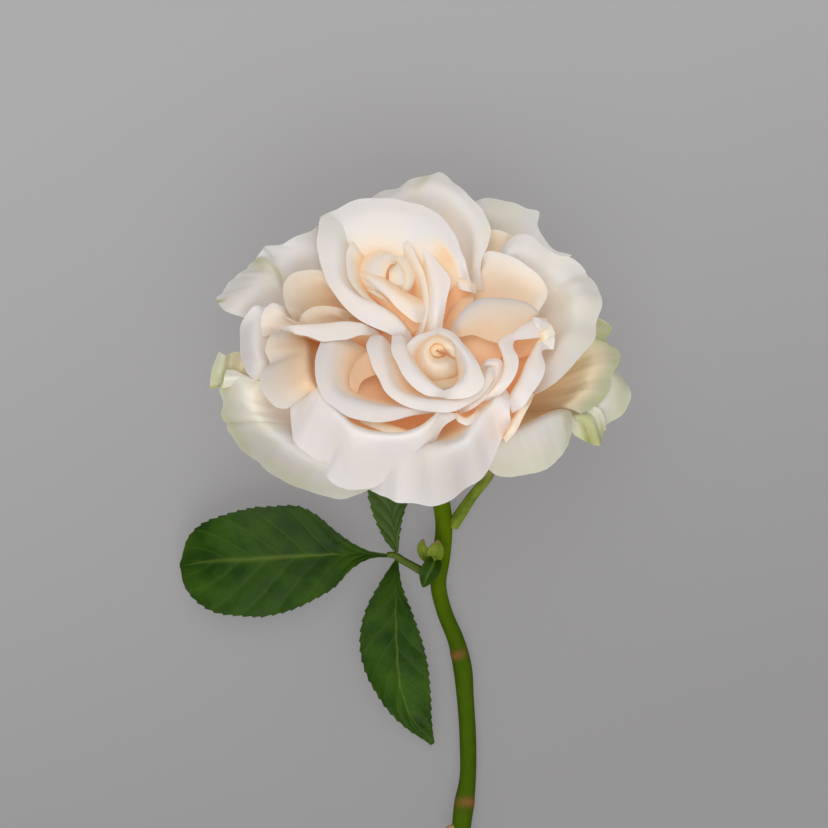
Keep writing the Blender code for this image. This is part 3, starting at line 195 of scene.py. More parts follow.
# The outer ring: root, the middle's angle, half the spread, and crest and edge as (radius, height)
RING_ROUND = 0.16  # how far their sides draw in, as a share of the radius
RING_PETALS = (
    ("ring_back", OUTER, 92.0, 40.0, (49.5, 8.5), (56.0, 12.0)),
    ("ring_back_left", MIDDLE, 146.0, 34.0, (44.0, 22.0), (49.0, 14.0)),
    ("ring_back_right", MIDDLE, 36.0, 34.0, (44.0, 22.0), (49.0, 14.0)),
    ("ring_front", OUTER, 270.0, 38.0, (29.0, 11.0), (33.0, 7.0)),
    ("ring_left", OUTER, 200.0, 28.0, (34.0, 10.0), (38.0, 6.0)),
    ("ring_right", OUTER, -16.0, 28.0, (34.0, 10.0), (38.0, 6.0)),
    ("ring_inner_left", OUTER, 128.0, 36.0, (38.0, 11.0), (44.0, 12.0)),
    ("ring_inner_right", OUTER, 52.0, 36.0, (38.0, 11.0), (44.0, 12.0)),
)

# Each row is drawn from left to right as (u, v, height along the bloom's axis), lowest row first.
# The last row is the free edge, and the row before it is the crest that the petal rolls over.
HIGH_HEART_PETALS = (
    Petal("high_bud_right", HIGH_HEART, (
        ((398, 299, 32), (408, 293, 33), (414, 282, 33.5), (413, 268, 33.5), (405, 256, 33.5),
         (393, 249, 33)),
        ((397, 295, 36.5), (406, 289, 38), (410, 280, 38.6), (409, 269, 38.8), (403, 259, 38.8),
         (393, 254, 38)),
        ((396, 291, 37.5), (402, 287, 39), (405, 280, 39.8), (404, 271, 40.2), (399, 263, 40.4),
         (393, 260, 40)),
    ), 0.0),
    Petal("high_bud_left", HIGH_HEART, (
        ((403, 250, 33), (385, 246, 33.5), (369, 251, 33.5), (359, 262, 33), (357, 275, 32), (363, 287, 32),
         (377, 294, 32), (393, 297, 32)),
        ((400, 256, 38), (386, 252, 38.7), (374, 256, 39), (366, 266, 39), (364, 277, 38.6), (369, 286, 38),
         (380, 291, 37.5), (392, 294, 37)),
        ((397, 261, 40), (388, 258, 40.8), (380, 261, 41.2), (375, 269, 41.2), (374, 277, 41),
         (378, 283, 40.4), (384, 288, 39.4), (392, 291, 38.4)),
        ((394, 264, 40.2), (390, 265, 40.6), (388, 268, 40.6), (386, 273, 40.4), (385.5, 278, 40),
         (386.5, 282, 39.6), (389, 286, 38.8), (391, 289, 38)),
    ), 0.0),
    Petal("high_bar", HIGH_HEART, (
        ((359, 271, 38), (371, 273, 39.5), (381, 277, 40), (391, 283, 40), (403, 291, 39.5),
         (415, 297, 38.5), (427, 303, 37)),
        ((361, 277, 40), (372, 279, 41.5), (382, 283, 42.3), (391, 289, 42.3), (402, 297, 41.8),
         (414, 304, 40.6), (427, 311, 39)),
        ((370, 284, 39.8), (377, 288, 41), (385, 293, 41.8), (393, 301, 41.6), (403, 309, 40.8),
         (413, 316, 39.8), (426, 319, 38)),
        ((376, 289, 38.5), (382, 293, 39.5), (389, 299, 40), (396, 307, 39.8), (405, 315, 39),
         (413, 321, 38), (425, 323, 36.6)),
    ), 0.2),
    Petal("high_left_rim", HIGH_HEART, (
        ((386, 312, 34), (375, 303, 36), (366, 295.5, 38), (358, 288, 39), (351.5, 278, 39.8),
         (349, 265, 40.3), (349, 253, 40.8), (352, 246.5, 41), (358, 243.5, 41)),
        ((384, 314, 33.4), (373, 305, 35.4), (364, 297.5, 37.4), (356, 289.5, 38.4), (349, 279, 39.2),
         (346.5, 266, 39.7), (346.5, 252, 40.2), (350, 244.5, 40.4), (357, 241, 40.4)),
    ), 0.3),
    Petal("high_right_rim", HIGH_HEART, (
        ((397, 235, 40), (405, 243, 41), (411, 252, 41), (416, 262, 40.8), (421, 272, 40.2),
         (424, 284, 39.4), (425.5, 298, 38.5), (425, 312, 37.3), (422, 326, 35.8), (418, 337, 34)),
        ((398, 232, 39.6), (407, 240, 40.6), (413.5, 250, 40.6), (418.5, 261, 40.4), (423.5, 271, 39.8),
         (427, 284, 39), (428.5, 298, 38.1), (428, 312, 36.9), (425, 327, 35.3), (420, 339, 33.4)),
    ), 0.3),
    Petal("high_column", HIGH_HEART, (
        ((412, 240, 37), (420, 252, 38), (424, 268, 38), (427, 284, 37.8), (428, 300, 37.4),
         (428, 318, 36.4), (427, 336, 35)),
        ((413, 237, 40.5), (423, 246, 41), (428, 260, 41), (433, 276, 41), (436, 294, 40.6),
         (436, 314, 39.4), (434, 336, 37)),
        ((414, 235.5, 40), (425, 240.5, 40.6), (431, 253, 40.6), (441, 266, 40.2), (450, 279, 39.4),
         (446, 302, 38.4), (442, 334, 35.5)),
    ), 0.3),
    Petal("high_front_band", HIGH_HEART, (
        ((353, 221, 43.4), (341, 229, 42.4), (337.5, 243, 42.3), (337, 260, 42), (340, 278, 41.6),
         (347, 289, 41.2), (360, 297.5, 40.6), (374, 303, 40.3), (385, 309, 39.7), (396, 317, 38.7),
         (404, 327, 37.4), (411, 338, 35.6)),
        ((335, 213, 42.2), (322, 217, 41.0), (318, 231, 40.7), (317.5, 248, 40.3), (321, 266, 39.8),
         (327, 282, 39), (337, 298, 38.3), (348.5, 311, 37.8), (362, 321.5, 37), (383, 331, 36.3),
         (407, 342, 34.6)),
    ), 0.4),
    Petal("high_arch", HIGH_HEART, (
        ((346, 262, 35), (349, 252, 38), (360, 246, 39.5), (380, 244, 40), (398, 246, 40), (411, 252, 39.5),
         (422, 261, 39), (434, 270, 38.5), (446, 280, 37.5), (457, 292, 35.5)),
        ((335, 243, 39.5), (340, 229, 41.5), (355, 219, 43.3), (378, 215, 44), (401, 217, 44),
         (420, 224, 43.5), (438, 235, 42.7), (451, 249, 41.5), (459, 264, 40), (466, 287, 37.5)),
        ((320, 217, 39), (328, 213, 40.5), (336, 210, 42), (351, 201, 44), (374, 198, 45.5),
         (401, 200.5, 45.5), (424, 206.5, 45), (440, 216, 44.3), (450, 227, 43.5), (458, 242, 42.5),
         (464, 258, 41.2), (469, 275, 39.5), (474, 291, 37)),
    ), 0.5),
)

LOW_HEART_PETALS = (
    Petal("low_bud_right", LOW_HEART, (
        ((411, 352, 33), (414, 368, 33.5), (425, 381, 33.5), (440, 389, 33.5), (456, 386, 33.5),
         (466, 374, 33.5), (468, 358, 33)),
        ((415, 352, 37), (418, 365, 38.2), (427, 374.5, 38.8), (440, 379.5, 39), (454, 377.5, 38.8),
         (463, 368, 38.2), (465, 357, 37)),
    ), 0.0),
    Petal("low_bud_left", LOW_HEART, (
        ((467, 362, 32), (460, 343, 32.5), (448, 334, 33), (434, 331, 33), (420, 341, 33), (414, 358, 33),
         (420, 376, 32.5), (438, 385, 32.5), (456, 380, 32.5), (466, 368, 32)),
        ((460, 359, 37.5), (455, 346, 38.3), (446, 338, 38.6), (435, 336, 38.6), (424, 343, 38.4),
         (419.5, 356, 38), (424, 368, 37.6), (437, 375, 37.2), (451, 372, 37.2), (459, 364, 37.3)),
        ((453, 356, 40.3), (450, 347, 41), (443, 341, 41.3), (435, 340.5, 41.3), (428, 345, 41),
         (426, 354, 40.7), (430, 362, 40.2), (438, 366, 39.9), (447, 364, 39.9), (452, 359, 40.1)),
        ((446, 352, 40.6), (444.5, 347, 41.2), (440, 343.5, 41.4), (435, 343, 41.4), (431, 346, 41.2),
         (429.5, 351, 41), (432, 356, 40.6), (437, 358.5, 40.3), (443, 357.5, 40.3), (446, 354.5, 40.5)),
    ), 0.0),
    Petal("low_right_lip", LOW_HEART, (
        ((431, 334, 38.5), (440, 332.5, 39.6), (450, 337, 40.6), (459, 346, 41.2), (465, 356, 41.3),
         (467.5, 368, 41), (464, 379, 40.2), (454, 388, 39), (440, 391.5, 37.6)),
        ((430, 330, 37.3), (440, 328, 38.4), (452, 332.5, 39.4), (463, 343, 40), (473, 356, 40.2),
         (481, 369, 40), (484, 380, 39.6), (480, 390, 38.8), (469, 397.5, 37.8), (455, 399, 37),
         (440, 397, 36)),
    ), 0.2),
    Petal("low_left_lip", LOW_HEART, (
        ((401, 336, 38), (403, 346, 39), (408, 357, 39.8), (415, 368, 39.8), (424, 378, 39.4),
         (434, 386, 38.8), (445, 391.5, 37.8)),
        ((392, 337, 37), (391.5, 349, 38), (396, 362, 38.6), (403, 375, 38.6), (413, 387, 38),
         (427, 395, 37.2), (444, 398.5, 36)),
    ), 0.2),
    Petal("low_back_rim", LOW_HEART, (
        ((409, 366, 36.5), (408.5, 354, 37.5), (411, 345, 38), (418, 339, 38.3), (428, 336, 38.4),
         (440, 333, 38), (452, 336, 37)),
        ((406, 366, 36), (405.5, 353, 37), (408, 343, 37.5), (416, 336, 37.8), (427, 332.5, 37.9),
         (440, 329.5, 37.4), (454, 333, 36.4)),
    ), 0.2),
    Petal("low_ring", LOW_HEART, (
        ((381, 336, 37), (380, 346, 38), (382.5, 360, 38.6), (386, 375, 38.6), (391, 386, 38.3),
         (401, 394.5, 38), (416, 399.5, 37.5), (437, 401.5, 37), (455, 400.5, 37), (468, 395, 37.4),
         (480, 386, 37.8), (488, 375, 38), (492, 366, 38)),
        ((371, 336, 36), (366.5, 346, 37), (370, 360, 37.6), (377, 376, 37.6), (385, 391, 37),
         (396, 401, 36.5), (415, 409.5, 35.8), (438, 412, 35.3), (456, 410.5, 35.3), (470, 403.5, 35.7),
         (483, 394, 36.2), (492, 382, 36.8), (497, 369, 37)),
    ), 0.3),
    Petal("low_ring_right", LOW_HEART, (
        ((482, 368, 37), (489, 363, 38), (497, 364, 38), (497, 374, 37.5), (491, 386, 37), (482, 396, 36),
         (470, 405, 35), (459, 411, 34)),
        ((482, 364, 36), (490, 359, 37), (501, 360, 37), (502, 373, 36.5), (495, 388, 35.5), (485, 399, 35),
         (472, 409, 34), (459, 415, 33)),
    ), 0.3),
    Petal("low_big_inner", (-14.0, -6.0, 20.0), (
        ((352, 398, 35.5), (349.5, 384, 36.5), (351, 371, 37), (358, 359, 37.2), (370, 350, 37),
         (383, 345, 36)),
        ((359, 402, 33), (358, 391, 34), (361.5, 382.5, 34.8), (369, 377, 35), (379, 374, 34.5),
         (388, 372, 33.5)),
    ), 0.2),
    Petal("low_big_left", LOW_HEART, (
        ((342, 336, 36.5), (331, 341, 38), (326, 352, 38.6), (324, 366, 38.6), (325, 380, 38.4),
         (331, 391, 38), (343, 399, 37.6), (360, 404, 37.2), (380, 407.5, 36.8), (402, 409, 36.3),
         (420, 409.5, 35.6), (438, 411, 34.6)),
        ((334, 331, 35), (322, 340, 36.4), (316, 355, 37), (315, 373, 36.8), (318, 388, 36.2),
         (326, 401, 35.6), (338, 411, 35.2), (352, 418, 34.8), (370, 422, 34.3), (391, 421, 34),
         (412, 416, 33.8), (437, 413, 33.4)),
    ), 0.4),
    Petal("low_thin_front", LOW_HEART, (
        ((366, 415, 24), (377, 419, 24), (388, 423, 24), (398, 427, 24), (408, 431, 24), (416, 434, 24)),
        ((361, 420, 33), (372, 424.5, 33.2), (382, 428.5, 33.2), (393, 432, 33), (404, 435.5, 32.8),
         (413, 438, 32)),
        ((360, 422, 32.3), (371, 426.8, 32.5), (381, 430.8, 32.5), (392, 434.3, 32.3), (403, 438, 32.1),
         (413, 440.5, 31.3)),
    ), 0.4),
)

FRONT_PETALS = (
    Petal("front_left", MIDDLE, (
        ((306, 386, 22), (319, 388, 24), (331, 399, 25), (348, 414, 25), (357, 422, 25), (370, 427, 25),
         (387, 430.5, 25), (405, 430.5, 25), (420, 426, 25.5), (432, 417, 26), (444, 406, 26)),
        ((303, 389, 33), (316, 391, 35), (328, 403, 35.8), (343, 418.5, 35.6), (351, 426.5, 35.5),
         (365, 432.5, 35.5), (386, 435.5, 35.6), (405, 435.5, 36), (421, 431, 36.5), (434, 422, 37),
         (446, 411, 37)),
        ((293, 394, 30), (290, 406, 27), (292, 425, 23), (297, 450, 19.5), (306, 459, 17.5), (317, 467, 16),
         (323, 473, 15), (331, 483, 13), (346, 488.5, 11.5), (367, 488, 12), (396, 476, 17), (418, 464, 22),
         (431, 450, 27), (443, 430, 32), (460, 414, 35)),
    ), 0.7),
    Petal("front_right", MIDDLE, (
        ((372, 440, 24), (392, 443, 26), (414, 447, 29), (436, 447, 32.5), (452, 444, 34.5),
         (465, 438, 35.5), (475, 425, 36), (486, 412, 36), (497, 399, 36), (505, 388, 36)),
        ((364, 487, 8), (374, 491, 9), (384, 498, 10), (396, 502.5, 11), (418, 504, 12), (438, 503, 13.2),
         (452, 497, 14.5), (466, 488, 16), (481, 479, 18), (489, 466, 20), (497, 450, 24), (505, 434, 28),
         (510, 416, 31.5), (511, 399, 34)),
    ), 0.7),
)

RIGHT_PETALS = (
    Petal("back_tall", MIDDLE, (
        ((372, 212, 37), (386, 202, 39.5), (404, 195, 41), (422, 189, 42), (441, 187, 42), (457, 196, 41.5),
         (469, 210, 41), (477, 227, 40), (478, 245, 39), (476, 264, 37.5), (474, 290, 35)),
        ((372, 199, 37), (384, 190.5, 39.5), (400, 187, 41), (409, 180, 42), (421, 176, 42.5),
         (431, 175.5, 42.5), (440, 172.5, 42.5), (446, 175, 42.3), (454, 185, 42), (474, 199, 41),
         (484, 211, 40), (489, 226, 39), (488.5, 245, 38), (482, 260, 37), (480, 275, 36),
         (484, 291, 34.5)),
    ), 0.8),
    Petal("back_right_pale", MIDDLE, (
        ((466, 222, 33), (480, 212, 34.5), (498, 212, 35), (514, 217, 34.5), (527, 226, 34), (534, 240, 33),
         (545, 252, 31.5), (560, 264, 30)),
        ((466, 208, 32.5), (480, 200, 33.5), (497, 199, 34), (512, 203, 33.8), (526, 208, 33.2),
         (538, 210, 32.5), (538, 225, 31.8), (541, 234, 31.2), (550, 247, 30), (571, 256, 28)),
    ), 0.9),
    Petal("back_small_peach", INNER, (
        ((478, 246, 36), (486, 237, 37), (497, 235, 37), (507, 239, 36.5), (512, 246, 35.5)),
        ((477, 240, 35), (486, 231, 36), (498, 230, 36), (510, 235, 35.5), (517, 243, 34.5)),
    ), 0.8),
    Petal("right_big", MIDDLE, (
        ((497, 264, 38), (506, 255, 39.5), (520, 251, 40), (536, 256, 40), (551, 265, 39.5),
         (566, 276, 38.5), (575, 290, 37.5), (578, 305, 36.5), (576, 320, 35.5), (569, 335, 34.5),
         (558, 350, 33), (547, 367, 31.5), (533, 388, 30)),
        ((496, 253, 37), (505, 243, 38), (514, 237, 38.3), (524, 236, 38.3), (534, 239, 38),
         (544, 246, 37.3), (556, 254, 36), (569, 257, 35), (579, 264, 34), (589, 274, 33), (597, 287, 32),
         (601, 300, 31.4), (598, 316, 31), (597, 331, 30.5), (591, 346, 30), (578, 357, 29.7),
         (568, 371, 29), (556, 384, 28.5), (535, 393, 28)),
    ), 0.8),
    Petal("right_cup", INNER, (
        ((482, 268, 37), (488, 259, 39), (501, 259, 40), (514, 264, 40), (526, 272, 39.5), (536, 281, 39),
         (541, 291, 38.5), (539, 301, 38), (533, 310, 37.5), (532, 321, 36)),
        ((480, 263, 36), (487, 252, 38), (502, 253, 39), (517, 259, 39), (531, 269, 38.5), (543, 281, 38),
         (547, 293, 37.5), (544, 304, 37), (538, 313, 36.5), (537, 322, 35)),
    ), 0.7),
    Petal("right_fold", INNER, (
        ((452, 331, 37), (458, 319, 38), (466, 308, 39), (478, 300, 39.7), (495, 298.5, 40.3),
         (512, 299.5, 40.3), (527, 303, 39.8), (536, 310, 38.8), (538, 320, 37)),
        ((453, 338, 35.8), (462, 337, 37), (472, 335, 38), (485, 339, 38.2), (500, 343, 38.4),
         (511, 336, 38.4), (521, 328, 38), (530, 322, 37.5), (539, 323, 36)),
    ), 0.7),
    Petal("right_curl", INNER, (
        ((545, 326, 28), (531, 326, 30), (519, 329, 31), (510, 334, 31.5), (499, 345, 32), (502, 353, 32.3),
         (505, 365, 32), (503, 376, 31.5), (495, 388, 30), (482, 399, 28)),
        ((548, 321, 36), (534, 323, 38), (523, 327, 39.2), (513, 332.5, 39.8), (501.5, 344, 40.3),
         (505, 352, 40.5), (508.5, 365, 40.3), (507, 376, 39.8), (498, 389, 38.5), (484, 401, 36)),
        ((552, 332, 34.5), (538, 338, 36.5), (526, 339, 38), (515, 340, 39), (513, 347, 39.5),
         (518.5, 360, 39.5), (518, 370, 38.8), (513, 380, 37.8), (505, 389, 36.8), (494, 400, 34.5)),
    ), 0.6),
    Petal("right_second_curl", INNER, (
        ((541, 332, 30), (532, 343, 29.5), (527, 356, 29), (523, 367, 29), (517, 379, 28.5), (510, 391, 28),
         (503, 401, 27)),
        ((549, 340, 36.3), (540, 346, 37.8), (535.5, 357, 38.2), (529.5, 368, 38.2), (524, 380, 37.7),
         (517, 391, 36.8), (509, 402, 35)),
        ((553, 345, 34.8), (543, 352, 36.3), (544.5, 365, 36.4), (544, 375, 36), (536, 388, 35.2),
         (526, 403, 34), (512, 414, 32.5)),
    ), 0.7),
    Petal("right_knob", INNER, (
        ((530, 331, 36.5), (536, 325, 38.3), (545, 328, 38.8), (548, 339, 38), (543, 350, 36.5)),
        ((527, 326, 36.3), (537, 318, 38.2), (548, 322.5, 38.8), (557, 334, 38), (552, 350, 36.2)),
    ), 0.6),
    Petal("right_outer", INNER, (
        ((522, 393, 27), (515, 406, 27), (509, 419, 26.5), (504, 431, 26), (500, 440, 25)),
        ((531, 395, 34.5), (525, 408, 34.5), (518.5, 420, 34), (512, 432, 33), (505, 441, 31.5)),
        ((535, 393, 34), (528.5, 407, 33.8), (521.5, 420, 33), (515.5, 432, 31.8), (506, 443, 30)),
    ), 0.6),
)

LEFT_PETALS = (
    Petal("left_back", MIDDLE, (
        ((330, 240, 36), (315, 247, 37), (300, 253, 37), (285, 259, 36), (275, 268, 34.5), (267, 281, 32.5),
         (258, 294, 30.5), (250, 304, 29), (258, 315, 28)),
        ((326, 222, 35), (317, 227, 35), (300, 236, 34.5), (283, 243, 33.5), (264, 247, 32),
         (258, 259, 30.5), (249, 264, 29.5), (241, 271, 28.3), (230, 279, 27), (223, 293, 25.5),
         (217.5, 298, 24.8), (219, 305, 24.5), (225, 311.5, 24.3), (244, 318, 26)),
    ), 0.8),
    Petal("left_peach", INNER, (
        ((300, 322, 34), (292, 309, 36), (289, 297, 37), (291, 286, 38), (299, 279, 38.5), (312, 276, 39),
         (326, 278, 38.5), (338, 286, 37)),
        ((296, 322, 33), (287, 309, 35), (283, 296, 36), (284, 283, 37), (293, 274, 37.5), (307, 270, 38),
         (324, 271, 37.5), (340, 279, 36)),
    ), 0.7),
    Petal("left_peach_inner", INNER, (
        ((302, 328, 35), (305, 319, 36.5), (312, 313, 37), (324, 310, 37), (338, 312, 36.5),
         (350, 318, 35)),
        ((297, 325, 34.5), (302, 315, 36), (311, 308, 36.5), (325, 306, 36.5), (340, 308, 36),
         (353, 316, 34.5)),
    ), 0.6),
    Petal("left_blade", (-6.0, 0.0, 18.0), (
        ((279, 327, 37.5), (292, 326, 39), (309, 325, 39.5), (328, 323.5, 39.5), (346, 322, 39),
         (362, 324, 38), (376, 331, 36)),
        ((281, 330, 36.5), (295, 333, 37.5), (310, 338, 38), (326, 341.5, 38), (346, 339, 37.5),
         (362, 336, 36.5), (376, 333, 35)),
    ), 0.6),
    Petal("left_knob", INNER, (
        ((292, 322, 33), (284, 315, 35), (276, 311, 35.5), (270, 315, 35), (268, 324, 34), (271, 335, 33)),
        ((291, 314, 33), (282, 306, 34.5), (273, 303, 35), (264, 309, 34), (261, 322, 33), (264, 337, 32)),
    ), 0.7),
    Petal("left_side", MIDDLE, (
        ((280, 316, 31), (267, 316, 32), (259, 324, 32), (256, 337, 31.5), (257, 351, 31), (262, 364, 30),
         (270, 376, 29)),
        ((272, 308, 29), (254, 307, 28.5), (245, 316, 27.5), (240, 331, 26), (239, 348, 25),
         (243, 366, 24.5), (255, 382, 25)),
    ), 0.8),
    Petal("left_lobes", INNER, (
        ((308, 336, 33.5), (313, 347, 33), (316, 359, 32.5), (317, 371, 32), (319, 382, 32),
         (325, 392, 32)),
        ((300, 336, 37.5), (303, 347, 38), (304.5, 359, 38), (305.5, 371, 37.6), (309, 382, 37),
         (318, 391, 36)),
        ((281, 329, 36), (270, 335, 34.8), (265, 350, 33.4), (270, 365, 31.8), (262, 371, 30.6),
         (261, 385, 29), (276, 406, 27), (286, 408, 27), (300, 398, 30)),
    ), 0.7),
)

GUARD_PETALS = (
    Petal("guard_left", OUTER, (
        ((262, 384, 28), (254, 392, 27), (256, 404, 26), (262, 416, 25), (272, 428, 24), (286, 440, 22),
         (302, 452, 20), (322, 462, 18), (348, 470, 17)),
        ((250, 380, 24), (227, 372, 20), (220, 388, 16), (222, 405, 13), (226, 425, 10.5), (237, 442, 8),
         (262, 466, 6), (299, 488, 5), (325, 497, 5), (346, 498, 5), (368, 489, 8)),
    ), 1.0),
    Petal("guard_left_fold", OUTER, (
        ((246, 352, 25), (244, 364, 24.5), (240, 378, 22)),
        ((232, 353, 22), (230, 366, 20), (226, 384, 16)),
        ((224, 355, 25), (220.5, 371, 21.5), (217, 387, 17.5)),
        ((219, 351.5, 23.5), (212.5, 368, 20), (209.5, 389, 15.5)),
    ), 0.8),
    Petal("guard_right_high", OUTER, (
        ((586, 318, 28), (588, 334, 27), (591, 350, 25), (592, 366, 23), (588, 382, 21), (579, 396, 19.5),
         (566, 408, 18.5)),
        ((599, 318, 26), (612, 328, 22), (606, 341, 21), (620, 353, 17), (614, 374, 16), (606, 396, 14.5),
         (588, 418, 12.5)),
    ), 1.0),
    Petal("guard_right_low", OUTER, (
        ((592, 352, 18), (602, 366, 17), (607, 382, 15.5), (604, 397, 14), (596, 409, 13), (583, 418, 12.5),
         (568, 425, 12.5)),
        ((600, 352, 15), (619, 373, 11), (631, 393, 8), (624, 413, 6), (604, 427, 5.5), (600, 445, 5),
         (574, 435, 8.5)),
    ), 1.0),
    Petal("guard_right_front", OUTER, (
        ((571, 410, 9), (560, 409, 10), (547, 411.5, 10.5), (533, 418, 10.5), (518, 425, 10.5),
         (503, 433, 10.5), (491, 445, 10), (483, 459, 9)),
        ((573, 416, 16), (562, 414.5, 18.5), (549, 417, 20), (535, 423.5, 20.5), (519, 430.5, 20.5),
         (505, 438, 20), (493, 450, 18), (485, 464, 15)),
        ((575, 420, 14), (571, 437, 11), (562, 455, 9), (549, 466.5, 8), (530, 474, 8), (509, 477, 8.5),
         (494, 474.5, 10.5), (484, 466, 13.5)),
    ), 1.0),
)

# Petals that only the fine surfaces have, beside the last four of the ring: the rolled tips of both buds,
# petals seen deep between the rims, and a small flap of the left guard petal
HIGH_TIP = Petal("high_bud_tip", HIGH_HEART, (
    ((404, 294, 33), (406, 284, 34), (405, 274, 35), (400, 266, 36), (394, 262, 36)),
    ((400, 291, 38), (401.5, 284, 39.3), (400, 277, 40), (397, 271, 40.3), (393, 267, 40.2)),
    ((392, 290, 37.6), (390, 284, 38.6), (389.2, 279, 39.2), (389.2, 274, 39.6), (390, 268, 39.8)),
), 0.0)
LOW_TIP = Petal("low_bud_tip", LOW_HEART, (
    ((447, 353, 37), (445, 346, 37.5), (440, 342.5, 37.5), (434, 342, 37.5), (430, 346, 37.5),
     (428.5, 352, 37.3), (432, 358, 37), (438, 360, 37), (444, 358, 37)),
    ((443, 352, 40), (442, 348, 40.4), (438.5, 345.5, 40.5), (435, 345.5, 40.5), (432.5, 348, 40.4),
     (432, 351.5, 40.2), (434, 354.5, 40), (438, 355.5, 39.9), (441.5, 354.5, 39.9)),
    ((438.5, 351, 39.6), (438, 349.8, 39.7), (437.3, 349.3, 39.7), (436.6, 349.3, 39.7), (436, 350, 39.7),
     (436, 351, 39.6), (436.3, 351.7, 39.6), (437.2, 352, 39.6), (438, 351.8, 39.6)),
), 0.0)
DEEP_PETALS = (
    Petal("deep_right", INNER, (
        ((448, 350, 31), (462, 356, 31), (476, 366, 31), (488, 380, 31)),
        ((456, 336, 34.5), (474, 337, 35), (492, 341, 35.5), (506, 352, 36)),
        ((458, 331, 34), (476, 332, 34.5), (496, 336, 35), (512, 350, 35)),
    ), 0.3),
    Petal("deep_middle", INNER, (
        ((440, 330, 31), (448, 318, 31.5), (452, 304, 32), (452, 290, 32)),
        ((456, 336, 32.5), (462, 320, 34), (468, 304, 34.5), (470, 286, 34.5)),
        ((458, 338, 32), (466, 322, 33.5), (472, 304, 34), (476, 284, 34)),
    ), 0.3),
    Petal("small_yellow_fold", INNER, (
        ((452, 276, 37), (460, 278, 37.5), (468, 280, 37.5), (476, 284, 37)),
        ((453, 283, 37), (461, 286, 37.5), (468, 288, 37.5), (476, 291, 37)),
        ((455, 288, 36), (462, 290, 36.5), (469, 291.5, 36.5), (476, 294, 36)),
    ), 0.3),
    Petal("front_tongue", (10.0, -14.0, 20.0), (
        ((455, 408, 32), (459, 414, 32.5), (465, 417, 32.5), (472, 414, 32), (478, 408, 31)),
        ((456, 412, 35), (460, 419.5, 35.6), (466.5, 422, 35.8), (473, 418.5, 35.4), (479, 411, 34)),
        ((457, 415, 34), (459, 422.5, 34.6), (467, 425.5, 34.8), (475, 421.5, 34.4), (481, 413, 33)),
    ), 0.4),
    Petal("deep_high", HIGH_HEART, (
        ((360, 292, 32), (375, 300, 32), (391, 314, 32), (409, 334, 31)),
        ((366, 290, 35.5), (380, 298, 36.3), (397, 312, 36.3), (414, 332, 35)),
        ((374, 287, 35.7), (388, 295, 36.5), (406, 309, 36.5), (424, 326, 35.3)),
    ), 0.2),
    Petal("high_sliver", HIGH_HEART, (
        ((364, 287, 37), (374, 291, 37.8), (384, 297, 37.8), (394, 305, 37)),
        ((365, 290, 36.5), (375, 295, 37.3), (385, 301, 37.3), (395, 309, 36.5)),
    ), 0.2),
)
GUARD_FLAP = Petal("guard_left_flap", OUTER, (
    ((262, 381, 27), (262, 383, 27), (261, 385, 26.5)),
    ((240, 374, 25), (242, 378.5, 25), (240, 384.5, 24)),
    ((227, 369.5, 22.5), (225, 378, 22), (222, 388, 20)),
), 0.8)


# How a layer is coloured and waved: peach at the crest, peach at the root, over how far inward it gets
# there, peach at the free edge, pale green, and how strongly the edge waves
Tint = namedtuple("Tint", "crest root reach edge green ruffle")
TINTS = {
    "bud": Tint(0.12, 0.55, 9.0, 0.38, 0.10, 0.05),
    "dome": Tint(0.30, 0.78, 8.0, 0.55, 0.05, 0.05),
    "tip": Tint(0.60, 0.85, 5.0, 0.40, 0.10, 0.0),
    "lobe": Tint(0.56, 0.95, 8.0, 0.04, 0.0, 0.30),
    "deep": Tint(0.60, 0.95, 12.0, 0.40, 0.0, 0.10),
    "sliver": Tint(0.32, 0.95, 3.0, 0.20, 0.15, 0.10),
    "curl": Tint(0.05, 0.86, 7.0, 0.0, 0.0, 0.25),
    "strip": Tint(0.30, 0.95, 4.0, 0.25, 0.05, 0.10),
    "knob": Tint(0.06, 0.62, 4.0, 0.0, 0.02, 0.50),
    "hood": Tint(0.04, 0.62, 8.0, 0.0, 0.42, 0.25),
    "band": Tint(0.05, 0.56, 12.0, 0.02, 0.0, 0.15),
    "wall": Tint(0.28, 0.58, 5.0, 0.18, 0.10, 0.10),
    "tongue": Tint(0.16, 0.90, 5.0, 0.10, 0.0, 0.20),
    "bar": Tint(0.06, 0.62, 8.0, 0.28, 0.0, 0.05),
    "arch": Tint(0.02, 0.70, 22.0, 0.0, 0.0, 0.15),
    "cup": Tint(0.20, 0.60, 24.0, 0.06, 0.0, 0.20),
    "flap": Tint(0.02, 0.90, 12.0, 0.55, 0.0, 0.10),
    "pocket": Tint(0.72, 0.95, 8.0, 0.74, 0.0, 0.05),
    "heart": Tint(0.05, 0.80, 11.0, 0.02, 0.0, 0.15),
    "inner": Tint(0.10, 0.90, 14.0, 0.03, 0.0, 0.30),
    "tan": Tint(0.34, 0.66, 14.0, 0.20, 0.0, 0.20),
    "front": Tint(0.04, 0.85, 16.0, 0.0, 0.0, 0.45),
    "pale": Tint(0.02, 0.40, 40.0, 0.0, 0.05, 0.40),
    "thin": Tint(0.15, 0.72, 6.0, 0.05, 0.05, 0.10),
    "guard": Tint(0.06, 0.35, 22.0, 0.0, 0.40, 0.40),
    "olive": Tint(0.44, 0.80, 13.0, 0.12, 0.72, 0.35),
    "fold": Tint(0.05, 0.45, 9.0, 0.0, 0.10, 0.10),
    "ring": Tint(0.10, 0.40, 25.0, 0.0, 0.30, 0.70),
}
